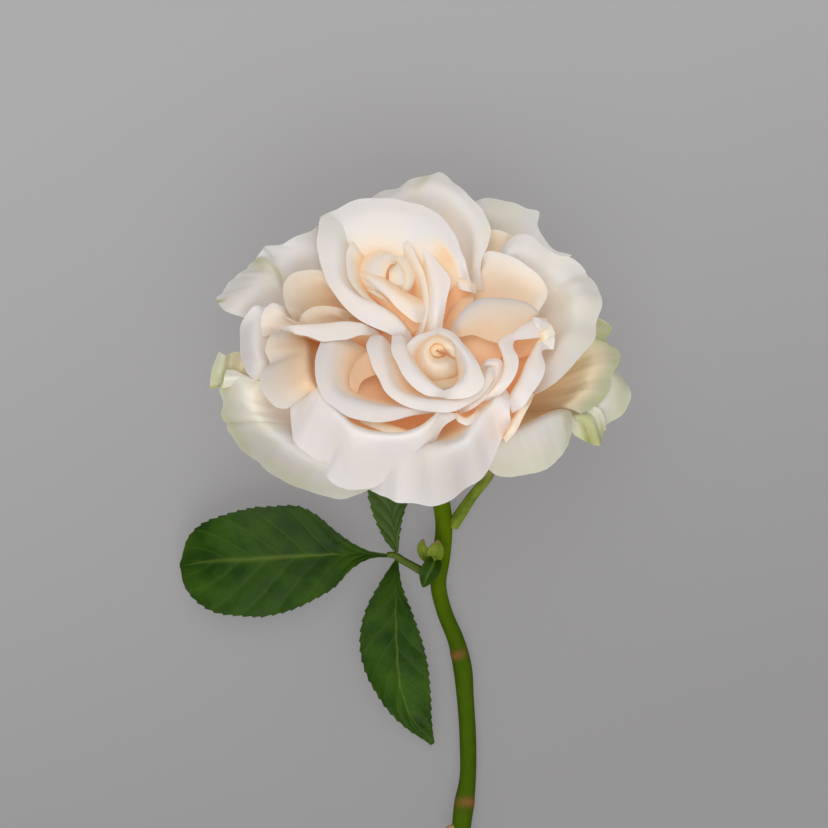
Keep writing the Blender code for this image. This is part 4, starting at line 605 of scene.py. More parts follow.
# Painted shade of a petal from its start to its end, where it lies further back, and, below zero,
# painted light: how much brighter it is
PAINTED_SHADES = {
    "left_back": (0.07, 0.05, 0.10, 0.06), "left_peach": (0.18, 0.10), "left_peach_inner": (0.08, 0.12),
    "left_side": (0.05,), "left_lobes": (0.26, 0.23, 0.14, 0.04), "left_knob": (0.02,),
    "back_tall": (0.09, 0.04, -0.03, -0.02), "back_right_pale": (0.10, 0.0), "back_small_peach": (0.05,),
    "right_big": (0.04,), "right_fold": (0.10,), "guard_left": (-0.22, -0.03, 0.15, 0.20, 0.14),
    "guard_left_fold": (0.05,), "guard_left_flap": (-0.10,), "guard_right_high": (0.04, 0.06, 0.06, 0.18),
    "guard_right_front": (0.06,), "guard_right_low": (0.02,), "low_bud_right": (0.12,),
    "low_bud_left": (0.08, 0.0, -0.03, 0.04, 0.12, 0.10), "low_bud_tip": (-0.02,), "low_big_inner": (0.13,),
    "low_big_left": (0.06,), "high_bud_left": (-0.05,), "high_bud_right": (-0.04,), "high_bud_tip": (-0.06,),
    "high_column": (-0.09,), "high_arch": (-0.02, -0.02, -0.02, 0.02, -0.01), "deep_high": (-0.03,),
    "deep_middle": (0.06,), "front_right": (0.03, 0.03, 0.12, -0.07, -0.03),
}
# The belly's rows of a petal: how far out, more with belly, how far up, less with belly
BELLY_ROWS = ((0.42, 0.26, 0.62, 0.50), (0.80, 0.17, 0.90, 0.32))
BELLY_SHARE = 0.4  # how strongly the belly counts in both
TUCK = 2.0  # how far a petal's two ends sink under its neighbours
# The same for the start and the end of two petals that are tucked in differently
TUCKS = {"high_left_rim": (1.0, 2.0), "high_right_rim": (3.0, 1.0)}
ROLL_LIFT = 0.65  # how much of a slight roll of the free edge is taken back
CUP_LIFT = 1.7  # and how much for a petal that cups up to its edge
ROLL_MOST = 6.0  # an edge that rolls down further than this isn't lifted
ROLL_FADE = 3.0
# Petals that cup up to their free edge
CUPS = (
    "left_peach", "left_peach_inner", "left_back", "left_side", "left_knob", "right_cup", "right_big",
    "back_tall", "back_right_pale", "back_small_peach", "high_left_rim", "high_right_rim",
)
CORE_RADII = (19.0, 22.0, 12.0)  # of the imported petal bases, and their middle along the bloom's axis
CORE_MIDDLE = 16.0
ROOT_WIDTH = 3.0  # half a petal's width at its root
# The petals that are coloured and waved in another way than the rest of their group
PETAL_KINDS = {
    "high_bud_right": "bud", "high_bud_left": "bud", "high_bud_tip": "bud", "high_bar": "bar",
    "low_bud_right": "dome", "low_bud_left": "dome", "low_bud_tip": "tip",
    "back_tall": "pale", "back_right_pale": "pale", "right_big": "pale", "left_back": "pale",
    "left_side": "front", "left_lobes": "lobe", "deep_right": "deep", "deep_middle": "deep",
    "deep_high": "pocket", "low_big_inner": "pocket", "right_cup": "cup", "left_knob": "cup",
    "left_peach": "tan", "left_peach_inner": "tan", "back_small_peach": "tan",
    "high_left_rim": "thin", "high_right_rim": "thin", "guard_right_high": "olive",
    "guard_left_fold": "fold", "small_yellow_fold": "tongue", "high_sliver": "wall",
    "low_thin_front": "sliver", "high_column": "band", "high_front_band": "band", "high_arch": "arch",
    "right_fold": "flap", "right_curl": "curl", "right_second_curl": "curl", "right_outer": "strip",
    "right_knob": "knob", "guard_right_front": "hood", "front_tongue": "tongue",
}
# Folds in a petal: place across at the free edge, width, height, where along the petal it starts, and
# how far it slants across towards the root
FOLDS = {
    "front_right": ((0.08, 0.02, 0.4, 0.6), (0.15, 0.02, -0.3, 0.6), (0.22, 0.025, 0.4, 0.6),
                    (0.38, 0.03, 0.3, 0.6), (0.62, 0.05, 0.4, 0.5), (0.80, 0.04, -0.3, 0.5)),
    "front_left": ((0.325, 0.018, -0.9, 0.75, 0.3), (0.12, 0.03, 0.3, 0.5), (0.22, 0.03, -0.3, 0.5),
                   (0.45, 0.03, 0.3, 0.6), (0.58, 0.03, -0.3, 0.6)),
    "left_back": ((0.47, 0.028, 1.1, 0.3, 0.7), (0.425, 0.012, -0.7, 0.3, 0.7), (0.56, 0.012, -0.5, 0.5, 0.3),
                  (0.60, 0.012, 0.4, 0.5, 0.3), (0.64, 0.012, -0.4, 0.6), (0.70, 0.012, 0.3, 0.6)),
    "guard_right_high": ((0.30, 0.03, 0.5, 0.1), (0.42, 0.03, -0.4, 0.1), (0.54, 0.03, 0.5, 0.1),
                         (0.66, 0.03, -0.4, 0.1), (0.78, 0.03, 0.4, 0.1)),
    "guard_right_low": ((0.68, 0.015, 0.8, 0.5), (0.76, 0.015, -0.9, 0.5), (0.83, 0.015, 0.9, 0.5),
                        (0.90, 0.015, -0.9, 0.5)),
    "guard_right_front": ((0.20, 0.02, 0.2, 0.5), (0.34, 0.02, -0.2, 0.5), (0.46, 0.02, 0.2, 0.5),
                          (0.60, 0.02, -0.2, 0.5), (0.74, 0.02, 0.2, 0.5)),
    "guard_left": ((0.21, 0.03, 0.6, 0.2), (0.30, 0.02, 0.8, 0.55), (0.345, 0.013, -0.9, 0.5),
                   (0.46, 0.03, 0.5, 0.4), (0.54, 0.02, -0.4, 0.4), (0.68, 0.03, 0.3, 0.5)),
    "right_big": ((0.40, 0.012, -0.6, 0.7), (0.44, 0.02, 0.4, 0.7)),
    "back_tall": ((0.28, 0.03, 0.4, 0.6),),
    "right_knob": ((0.20, 0.06, 0.5, 0.3), (0.38, 0.05, -0.7, 0.3), (0.56, 0.05, 0.6, 0.3),
                   (0.78, 0.06, -0.6, 0.3)),
    "left_knob": ((0.35, 0.04, 0.15, 0.6), (0.5, 0.04, -0.15, 0.6), (0.65, 0.04, 0.15, 0.6)),
}
# Tinges of green, and above one of moss, at folds and tips: place across, width, where along the petal
# it starts, strength and slant
TINGES = {
    "left_back": ((0.52, 0.04, 0.5, 0.5, 0.3), (0.505, 0.012, 0.6, 0.4, 0.3), (0.81, 0.012, 0.94, 1.9)),
    "front_left": ((0.325, 0.015, 0.94, 1.5),),
    "high_front_band": ((0.12, 0.10, 0.3, 0.28),),
    "high_arch": ((0.03, 0.07, 0.3, 0.32),),
    "back_tall": ((0.27, 0.03, 0.8, 0.4),),
    "back_right_pale": ((0.35, 0.20, 0.3, 0.15),),
    "right_big": ((0.50, 0.30, 0.5, 0.14),),
    "guard_left_fold": ((0.5, 0.9, 0.2, 0.5), (0.97, 0.06, 0.2, 1.2)),
    "guard_left": ((0.18, 0.06, 0.8, 0.5), (0.30, 0.05, 0.85, 0.3), (0.40, 0.10, 0.5, 0.25)),
    "guard_right_low": ((0.4, 0.3, 0.2, 0.3), (0.84, 0.13, 0.2, 1.5)),
    "guard_right_high": ((0.9, 0.10, 0.85, 0.8), (0.15, 0.2, 0.3, 0.5)),
    "guard_right_front": ((0.15, 0.10, 0.6, 0.4),),
    "right_knob": ((0.6, 0.2, 0.4, 0.12),),
}
# Blushes of peach in a petal: the same, and over how far inside the crest they set in
BLUSHES = {
    # The arch's second blush is partly its own peach and partly painted shade between its rim and the column
    "high_arch": ((0.92, 0.10, 0.25, 0.42, 1.5), (0.78, 0.10, 0.30, 0.55, 1.5)),
    "high_column": ((0.35, 0.25, 0.0, 0.25, 3.0),),
    "left_peach": ((0.95, 0.22, -0.5, 0.45, 6.0),),
    "right_cup": ((0.55, 0.25, 0.3, 0.15, 4.0),),
    "left_lobes": ((0.22, 0.16, 0.1, 0.22, 0.0),),
    "right_knob": ((0.6, 0.12, 0.2, 0.15, 0.0),),
}
# Waves of a petal: the least and the most waves a millimetre, phase and, for the surface, lean along the
# petal, and how many are drawn
FRINGE_WAVES = ((0.03, 0.0), (0.15, 1.0), (6, 2))
PETAL_WAVES = ((0.015, 0.0, -0.3), (0.07, 1.0, 0.3), (5, 3))
FRINGE = 0.25  # how far the free edge stands in and out, and over how far from it
FRINGE_REACH = 4.0
WAVE = 0.4  # how far the waves move the surface
THICK_EDGE = 0.7  # a petal's thickness, in set ones, at its free edge and how much more at its root
THICK_MORE = 0.9
THIN_EDGE = 0.4  # what is left of it right at the edge, and over how far it thins to that
THIN_REACH = 2.5
GREEN_ROOT = 0.35  # the share of its green that a petal keeps at its root, and where it gets greener
GREEN_REACH = 9.0
CLEAR = 0.5  # the petals stay this far above the surface, and bend up softly when they come near it
NEAR_SURFACE = 3.0
GRAIN = 0.8  # how far apart the points of a petal are, within the least and the most of them
ACROSS_POINTS = (40, 150)
ALONG_POINTS = (30, 80)
CROWDING = 0.8  # the power that crowds them towards the free edge
SHARP = math.radians(60.0)  # edges that turn more than this are sharp, such as the borders of thin sheets

# A petal's painted glow, which lifts its shade: its share where it is peach, where it has painted shade, and
# everywhere
LIGHT_OF_PEACH = 0.58
LIGHT_OF_PAINTED_SHADE = -5.0
LIGHT_OF_ALL = 0.62
PITH = (0.50, 0.55, 0.28)  # the stem's pale inside, at its cut
# A prickle's colours: foot, above it, point, and patches
PRICKLE_COLOURS = ((0.16, 0.17, 0.02), (0.36, 0.13, 0.07), (0.12, 0.035, 0.02), (0.20, 0.10, 0.03))

# The stage
SENSOR = 36.0
PICTURE_STEPS = 828.0  # how many steps of the drawing grid the camera sees across
FLOOR_HALF = 2500.0
FLOOR_BELOW = 0.15  # how far under the rose it lies
BLOOM_MIDDLE = (5.0, 105.0)  # where the lamps point
LAMP_SIZE = 1.2  # in metres, as the lamps' places
LAMPS = (("key_lamp", (-0.2, 0.7, 1.2), 0.8), ("fill_lamp", (0.1, -0.75, 1.1), 1.1))  # place, share of power

# The materials made so far, by the names of the functions that make them
FINISHES = {}


def unit(vectors):
    """The vectors at length one."""
    return vectors / np.maximum(np.linalg.norm(vectors, axis=-1, keepdims=True), 1e-9)


def ease(value):
    """0 below 0, 1 above 1, and 3v^2 - 2v^3 between them."""
    value = np.clip(value, 0.0, 1.0)
    return value * value * (3.0 - 2.0 * value)


def bloom_point(u, v, h):
    """The place in the bloom's frame of a point of the grid at height h along the bloom's axis.

    It is where the sight line through the grid's point meets that height.
    """
    across = (u - GRID_MIDDLE) * GRID
    down = (GRID_MIDDLE - v) * GRID
    reach = EYE_HEIGHT - DRAWN_HEIGHT
    slope = AXIS_Y / AXIS_Z
    level = RECEPTACLE[2] + AXIS_Z * h + slope * (RECEPTACLE[1] + AXIS_Y * h)
    z = (level - slope * down * EYE_HEIGHT / reach) / (1.0 - slope * down / reach)
    shrink = (EYE_HEIGHT - z) / reach
    up = (down * shrink - RECEPTACLE[1] - AXIS_Y * h) / AXIS_Z
    return np.stack((across * shrink - RECEPTACLE[0], up, h), axis=-1)


def from_bloom(points):
    """Points of the bloom's frame in the rose's frame: turned by the tilt and moved to the receptacle."""
    across, up, along = points[..., 0], points[..., 1], points[..., 2]
    x = RECEPTACLE[0] + across - ORIGIN[0]
    y = RECEPTACLE[1] + AXIS_Z * up + AXIS_Y * along - ORIGIN[1]
    z = RECEPTACLE[2] - AXIS_Y * up + AXIS_Z * along
    return np.stack((x, y, z), axis=-1)


def seen(line):
    """Points of the grid, each with its height above the surface, in the rose's frame."""
    u, v, z = np.asarray(line, float).T
    shrink = (EYE_HEIGHT - z) / (EYE_HEIGHT - DRAWN_HEIGHT)
    x = (u - GRID_MIDDLE) * GRID * shrink - ORIGIN[0]
    y = (GRID_MIDDLE - v) * GRID * shrink - ORIGIN[1]
    return np.stack((x, y, z), axis=-1)


def smooth(points, places):
    """Cubic curves through the points along the first axis, at places from 0 to 1 of their length.

    Between two points the curve is Hermite's cubic, and its slope at a point is that of the parabola
    through it and its neighbours. Further axes but the last are curves side by side.
    """
    points = np.asarray(points, float)
    steps = np.maximum(np.linalg.norm(np.diff(points, axis=0), axis=-1), 1e-6)
    knots = np.concatenate((np.zeros((1,) + steps.shape[1:]), np.cumsum(steps, axis=0)))
    knots /= knots[-1]
    gaps = np.diff(knots, axis=0)[..., None]
    rises = np.diff(points, axis=0) / gaps
    slopes = np.concatenate((
        rises[:1],
        (gaps[1:] * rises[:-1] + gaps[:-1] * rises[1:]) / (gaps[1:] + gaps[:-1]),
        rises[-1:],
    ))
    places = np.asarray(places, float).reshape((-1,) + (1,) * (knots.ndim - 1))
    places = np.broadcast_to(places, (len(places),) + knots.shape[1:])
    index = np.zeros(places.shape, int)
    for knot in knots[1:-1]:
        index += places >= knot

    def pick(values, which):
        return np.take_along_axis(values, which[..., None], 0)

    gap = pick(gaps, index)
    f = (places - np.take_along_axis(knots, index, 0))[..., None] / gap
    return (
        pick(points, index) * (2 * f**3 - 3 * f**2 + 1)
        + pick(slopes, index) * gap * (f**3 - 2 * f**2 + f)
        + pick(points, index + 1) * (3 * f**2 - 2 * f**3)
        + pick(slopes, index + 1) * gap * (f**3 - f**2)
    )


def new_object(name, points, faces, places, marks, look):
    """An object of these points, in millimetres, with places as its UV map and marks as its attributes."""
    mesh = bpy.data.meshes.new(name)
    mesh.from_pydata((points * MM).tolist(), [], faces)
    corners = np.zeros(len(mesh.loops), int)
    mesh.loops.foreach_get("vertex_index", corners)
    layer = mesh.uv_layers.new(name="surface")
    layer.data.foreach_set("uv", places[corners].astype(np.float32).ravel())
    for mark, values in marks.items():
        attribute = mesh.attributes.new(mark, "FLOAT", "POINT")
        attribute.data.foreach_set("value", values.astype(np.float32))
    mesh.materials.append(look)
    mesh.shade_smooth()
    mesh.set_sharp_from_angle(angle=SHARP)
    mesh.update()
    made = bpy.data.objects.new(name, mesh)
    bpy.context.scene.collection.objects.link(made)
    return made


def quads(index):
    """The four-sided faces of a grid of vertex numbers."""
    return np.stack((index[:-1, :-1], index[:-1, 1:], index[1:, 1:], index[1:, :-1]), axis=-1).reshape(-1, 4)


def normals(grid):
    """The direction that a grid of points faces at each of them."""
    return unit(np.cross(np.gradient(grid, axis=1), np.gradient(grid, axis=0)))


def sheet(name, grid, places, thick, look, marks, lift=0.0):
    """A closed thin sheet: two copies of the grid, half its thickness to each side, joined at the border."""
    half = np.broadcast_to(np.asarray(thick) / 2.0, grid.shape[:2])[..., None] * normals(grid)
    points = np.concatenate(((grid + half).reshape(-1, 3), (grid - half).reshape(-1, 3)))
    points[:, 2] = np.maximum(points[:, 2], lift)
    count = grid.shape[0] * grid.shape[1]
    index = np.arange(count).reshape(grid.shape[:2])
    border = np.concatenate((index[0, :], index[1:, -1], index[-1, -2::-1], index[-2:0:-1, 0]))
    after = np.roll(border, -1)
    sides = np.stack((after, border, border + count, after + count), axis=-1)
    faces = np.concatenate((quads(index), quads(index + count)[:, ::-1], sides)).tolist()
    both = np.concatenate((places.reshape(-1, 2),) * 2)
    spread = {mark: np.concatenate((np.ravel(values),) * 2) for mark, values in marks.items()}
    spread["outside"] = np.repeat((0.0, 1.0), count)
    return new_object(name, points, faces, both, spread, look)


def around(sides):
    """Even turns round a ring."""
    return np.linspace(0.0, 2.0 * np.pi, sides, endpoint=False)


def closed_skin(name, rings, ends, down, look, marks, turned_back=False):
    """A skin of rings of points, closed by a fan of faces round one more point at each end.

    Its map runs round each ring, and from ring to ring as down says. A mark has one value for all
    points, one a ring or one a point. Rings that run the other way round are turned back.
    """
    count, sides = rings.shape[:2]
    index = np.arange(count * sides).reshape(count, sides)
    index = np.concatenate((index, index[:, :1]), axis=1)
    if turned_back:
        index = index[:, ::-1]
    first = np.stack((np.full(sides, count * sides), index[0, 1:], index[0, :-1]), axis=-1)
    last = np.stack((np.full(sides, count * sides + 1), index[-1, :-1], index[-1, 1:]), axis=-1)
    faces = quads(index).tolist() + first.tolist() + last.tolist()
    places = np.stack(np.meshgrid(around(sides) / (2.0 * np.pi), down), axis=-1).reshape(-1, 2)
    places = np.concatenate((places, ((0.0, down[0]), (0.0, down[-1]))))
    spread = {}
    for mark, values in marks.items():
        values = np.asarray(values, float)
        values = np.broadcast_to(values[:, None] if values.ndim == 1 else values, (count, sides))
        spread[mark] = np.concatenate((values.ravel(), values[[0, -1], 0]))
    return new_object(name, np.concatenate((rings.reshape(-1, 3), ends)), faces, places, spread, look)


def tube(name, path, radii, sides, look, marks, relief=1.0):
    """A closed bar: a ring round each point of the path, at its radius times the relief."""
    ahead = unit(np.gradient(path, axis=0))
    right = unit(np.cross(ahead, (0.0, 0.0, 1.0)))
    over = np.cross(right, ahead)
    turns = around(sides)
    ring = np.cos(turns)[:, None] * right[:, None] + np.sin(turns)[:, None] * over[:, None]
    reach = np.broadcast_to(np.asarray(radii)[:, None] * relief, (len(path), sides))
    rings = path[:, None] + ring * reach[..., None]
    return closed_skin(name, rings, path[[0, -1]], np.linspace(0.0, 1.0, len(path)), look, marks, True)


def ribbed(sides, down, height, winding=2.0):
    """The relief of a bar with five soft ribs that wind round it on their way down."""
    return 1.0 + height * np.sin(5.0 * around(sides)[None, :] + winding * down[:, None])


def petal_rows(petal, across):
    """The petal's rows at places across it, in the bloom's frame: root, belly and the drawn ones.

    The belly's rows lie between the root and the lowest drawn row. The more belly a petal has, the
    further out and the lower they lie, so that it goes outward first and up after.
    """
    lines = [smooth(row, across) for row in petal.rows]
    first = lines[0]
    side = first[-1] - first[0]
    side[2] = 0.0
    side /= max(np.linalg.norm(side), 1.0)
    root = np.array(petal.root) + ROOT_WIDTH * (2.0 * across[:, None] - 1.0) * side
    belly = []
    for out, more_out, up, less_up in BELLY_ROWS:
        out += more_out * petal.belly * BELLY_SHARE
        up -= less_up * petal.belly * BELLY_SHARE
        belly.append(root + (first - root) * np.array((out, out, up)))
    return np.array([root] + belly + lines)


def bell(s, t, place, width, start, slant=0.0):
    """A bell curve across a petal that slants over to its root and grows from the start to the edge."""
    return np.exp(-(((s - place - slant * (1.0 - t)) / width) ** 2)) * ease((t - start) / (1.0 - start))


def petal_marks(name, tint, s, t, inside, rolled):
    """How peach and green a petal is at each of its points, and how much painted shade it has.

    Peach turns from the crest's share to the root's over the reach inside the crest, and to the free
    edge's over the stretch that rolls out. Green fades from the free edge inwards to the share that
    is kept. Tinges of green and blushes of peach are bell curves across the petal.
    """
    inward = inside - rolled
    rim = ease(-inward / rolled)
    peach = tint.crest + (tint.root - tint.crest) * ease(inward / tint.reach) + (tint.edge - tint.crest) * rim
    green = tint.green * (GREEN_ROOT + (1.0 - GREEN_ROOT) * ease(1.0 - inside / GREEN_REACH))
    for place, width, start, strength, *slant in TINGES.get(name, ()):
        green += strength * bell(s, t, place, width, start, *slant)
    for place, width, start, strength, fade in BLUSHES.get(name, ()):
        peach += strength * bell(s, t, place, width, start) * (ease(inward / fade) if fade else 1.0)
    # Painted shade across the petal, and below zero painted light
    dusk = PAINTED_SHADES.get(name, (0.0,))
    return {"peach": peach, "green": green, "dusk": np.interp(s, np.linspace(0.0, 1.0, len(dusk)), dusk)}


def petal_sheet(petal, tint, look):
    """One petal as a thin sheet.

    Smooth curves run across through each row, and along from the root over belly and crest to the
    free edge. Waves that grow towards the edge, and folds that are bell curves across the petal,
    then move each point along the surface's normal.
    """
    settings = bpy.context.scene.rose_petals
    draw = np.random.default_rng(zlib.crc32(petal.name.encode()))
    edge = np.linalg.norm(np.diff(petal.rows[-1], axis=0), axis=1).sum()
    across = np.linspace(0.0, 1.0, int(np.clip(edge / GRAIN, *ACROSS_POINTS)))
    rows = petal_rows(petal, across)
    steps = np.linalg.norm(np.diff(rows, axis=0), axis=-1)
    depth = steps.sum(axis=0)
    along = np.linspace(0.0, 1.0, int(np.clip(depth.max() / GRAIN, *ALONG_POINTS))) ** CROWDING
    grid = smooth(rows, along)
    s, t = np.meshgrid(across, along)
    normal = normals(grid)
    above_root = petal.root + np.array((0.0, 0.0, 30.0))
    if np.mean(normal * (above_root - grid)) < 0.0:
        grid, s, normal = grid[:, ::-1], s[:, ::-1], -normal[:, ::-1]
        steps, depth = steps[:, ::-1], depth[::-1]
    inside = depth * (1.0 - t)
    waves = draw.uniform(*FRINGE_WAVES)
    fringe = sum(np.sin(2.0 * np.pi * (count * edge * s + phase)) for count, phase in waves)
    fringe *= FRINGE * tint.ruffle * ease(1.0 - inside / FRINGE_REACH) ** 2
    grid += unit(np.gradient(grid, axis=0)) * fringe[..., None]
    move = np.zeros(grid.shape[:2])
    for count, phase, lean in draw.uniform(*PETAL_WAVES):
        move += np.sin(2.0 * np.pi * (count * edge * s + phase + lean * t))
    move *= WAVE * tint.ruffle * settings.ruffle * ease(t * 1.4 - 0.4) ** 2
    for place, width, height, start, *slant in FOLDS.get(petal.name, ()):
        move += height * bell(s, t, place, width, start, *slant)
    grid = from_bloom(grid + normal * move[..., None])
    low = grid[..., 2] - CLEAR
    grid[..., 2] = CLEAR + np.where(low > NEAR_SURFACE, low, 0.5 * np.logaddexp(0.0, 2.0 * low))
    thin = THIN_EDGE + (1.0 - THIN_EDGE) * ease(inside / THIN_REACH)
    thick = settings.thick / MM * (THICK_EDGE + THICK_MORE * (1.0 - t)) * thin
    marks = petal_marks(petal.name, tint, s, t, inside, steps[-1])
    return sheet(petal.name, grid, np.stack((s, t), axis=-1), thick, look, marks)


def drawn(petals):
    """The petals with their rows in the bloom's frame.

    Along the sight line, a free edge that rolls over only a little is lifted towards its crest, and
    the petal's two ends sink under its neighbours.
    """
    made = []
    for petal in petals:
        rows = [np.array(row, float) for row in petal.rows]
        crest = rows[-2][:, 2]
        levels = np.interp(np.linspace(0, 1, len(rows[-1])), np.linspace(0, 1, len(crest)), crest)
        roll = levels - rows[-1][:, 2]
        lift = CUP_LIFT if petal.name in CUPS else ROLL_LIFT
        rows[-1][:, 2] += roll * lift * ease((ROLL_MOST - roll) / ROLL_FADE)
        start, end = TUCKS.get(petal.name, (TUCK, TUCK))
        for row in rows:
            row[0, 2] -= start
            row[-1, 2] -= end
        made.append(petal._replace(rows=[bloom_point(*row.T) for row in rows]))
    return made


def ring_petals():
    """The outermost petals, each an arc round the bloom's axis whose sides draw in with the fourth power."""
    petals = []
    share = np.linspace(-1.0, 1.0, 7)
    for name, root, middle, spread, crest, edge in RING_PETALS:
        turns = np.radians(middle + spread * share)
        rows = []
        for radius, height in (crest, edge):
            reach = radius * (1.0 - RING_ROUND * share**4)
            heights = np.full(len(share), height)
            rows.append(np.stack((reach * np.cos(turns), reach * np.sin(turns), heights), axis=1))
        petals.append(Petal(name, root, rows, 1.0))
    return petals


def make_petals(petals, kind):
    """Makes the petals of a layer, which all ride on the rose and stand for the solid bloom."""
    look = shared(petal_finish)
    for petal in petals:
        tint = TINTS[PETAL_KINDS.get(petal.name, kind)]
        placed(petal_sheet(petal, tint, look), "bloom")


def placed(piece, node):
    """The piece rides on the rose and stands for the node."""
    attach(piece, "root")
    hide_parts(node)
    return piece


def core_skin(look):
    """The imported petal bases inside: a stretched ball whose radius swells in pleats round its axis."""
    turns = around(96)
    rise = np.linspace(-0.5 * np.pi, 0.5 * np.pi, 40)[1:-1, None]
    swell = 1.0 + 0.05 * np.sin(11.0 * turns + 3.0 * np.sin(2.0 * rise))
    a, b, c = CORE_RADII
    x = a * np.cos(rise) * np.cos(turns) * swell
    y = b * np.cos(rise) * np.sin(turns) * swell
    z = np.broadcast_to(CORE_MIDDLE + c * np.sin(rise), swell.shape)
    rings = from_bloom(np.stack((x, y, z), axis=-1))
    ends = from_bloom(np.array(((0.0, 0.0, CORE_MIDDLE - c), (0.0, 0.0, CORE_MIDDLE + c))))
    marks = {"peach": 0.7, "green": 0.0, "outside": 0.0}
    return closed_skin("petal_bases", rings, ends, rise[:, 0] / np.pi + 0.5, look, marks)


def serrated(line, places, teeth, inward):
    """An edge of a leaflet with forward teeth: a saw's wave, with each tooth's tip nearer the leaf's tip."""
    points = smooth(line, places)
    saw = np.mod(places * teeth, 1.0) ** TOOTH_HOLLOW
    fade = np.minimum(1.0, 6.0 * np.minimum(places, 1.0 - places))
    return points - unit(inward) * (TOOTH * (saw - 0.5) * fade)[:, None]


def leaflet_sheet(leaflet, look):
    """A leaflet between its two toothed edges, with its rib sunk and its side veins sunk between bulges.

    Across, each half is a straight run from rib to edge. Side veins leave the rib at even places and
    lean towards the tip with the distance from the rib; the depth is a bell curve over the distance
    to the nearest vein.
    """
    settings = bpy.context.scene.rose_leaf
    teeth = leaflet.teeth * 2
    down = np.linspace(0.0, 1.0, teeth * TOOTH_POINTS + 1)
    rib, upper, lower = (smooth(seen(line), down) for line in leaflet[1:4])
    upper_edge = serrated(seen(leaflet.upper), down, teeth, rib - upper)
    lower_edge = serrated(seen(leaflet.lower), down, teeth, rib - lower)
    out = np.linspace(-1.0, 1.0, 2 * HALF_POINTS + 1)
    share = np.abs(out)[None, :, None]
    edge = np.where((out < 0.0)[None, :, None], lower_edge[:, None], upper_edge[:, None])
    grid = rib[:, None] * (1.0 - share) + edge * share
    q, p = np.meshgrid(out, down)
    vein_at = LEAF_VEINS * (p - VEIN_LEAN * np.abs(q) ** 0.9) + 0.5 * (q < 0.0)
    near = np.abs(np.mod(vein_at + 0.5, 1.0) - 0.5)
    fade = ease(np.abs(q) / 0.08) * ease((1.0 - np.abs(q)) / 0.15) * ease(p / 0.05) * ease((1.0 - p) / 0.1)
    vein = np.exp(-((near / VEIN_WIDTH) ** 2)) * fade
    ridge = np.exp(-((q / (0.03 + 0.02 * p)) ** 2)) * (1.0 - 0.6 * p)
    bulge = np.cos(2.0 * np.pi * near) * -0.5 * fade
    lift = settings.relief / MM * (bulge - 0.8 * vein - 0.8 * ridge)
    lift += LEAF_WAVE * np.sin(2.0 * np.pi * (p * 1.7 + 0.15 * q)) * q**2
    normal = normals(grid)
    grid = grid + normal * (lift * np.sign(normal[..., 2]))[..., None]
    places = np.stack((q * 0.5 + 0.5, p), axis=-1)
    return sheet(leaflet.name, grid, places, settings.thick / MM, look, {"rib": ridge, "vein": vein})


def petiole_tube(look):
    """The petiole: a round bar that narrows, with a groove along its upper side."""
    line = smooth(np.column_stack((seen(PETIOLE_LINE), PETIOLE_RADII)), np.linspace(0.0, 1.0, 60))
    groove = 1.0 - 0.14 * np.exp(-(((around(24) - 0.5 * np.pi) / 0.35) ** 2))
    marks = {"rib": 0.85, "vein": 0.0, "outside": 0.0}
    return tube("petiole", line[:, :3], line[:, 3], 24, look, marks, groove)


def small_leaf(name, line, half, look):
    """A pointed leaf along a line: its width follows a sine, and its sides rise away from the rib."""
    down = np.linspace(0.0, 1.0, 40)
    rib = smooth(seen(line), down)
    side = unit(np.cross(np.gradient(rib, axis=0), (0.0, 0.0, 1.0)))
    width = half * np.sin(np.pi * np.clip(down * 0.86 + 0.12, 0.0, 1.0)) ** 0.8
    out = np.linspace(-1.0, 1.0, 21)
    rise = np.array((0.0, 0.0, 1.0)) * (AXIL_FOLD * np.abs(out) ** 1.3)[None, :, None]
    grid = rib[:, None] + width[:, None, None] * (side[:, None] * out[None, :, None] + rise)
    q, p = np.meshgrid(out, down)
    marks = {
        "rib": np.exp(-((q / 0.12) ** 2)) * (1.0 - 0.5 * p),
        "vein": np.exp(-(((np.abs(q) - 0.9) / 0.12) ** 2)),
        "tip": ease(p * 4.0 - 3.0),
    }
    return sheet(name, grid, np.stack((q * 0.5 + 0.5, p), axis=-1), AXIL_THICK, look, marks)


def stem_line():
    """Points and radii down the stem, on the smooth curve through its line, down to its cut's middle."""
    top = from_bloom(np.array([(0.0, 0.0, h) for h in STEM_TOP]))
    line = np.column_stack((np.concatenate((top, seen(STEM_LINE))), STEM_RADII))
    length = np.linalg.norm(np.diff(line[:, :3], axis=0), axis=1).sum()
    both = smooth(line, np.linspace(0.0, 1.0, int(length / STEM_POINTS)))
    both = both[both[:, 1] > both[-1, 1] + CUT_BACK]
    return both[:, :3], both[:, 3]


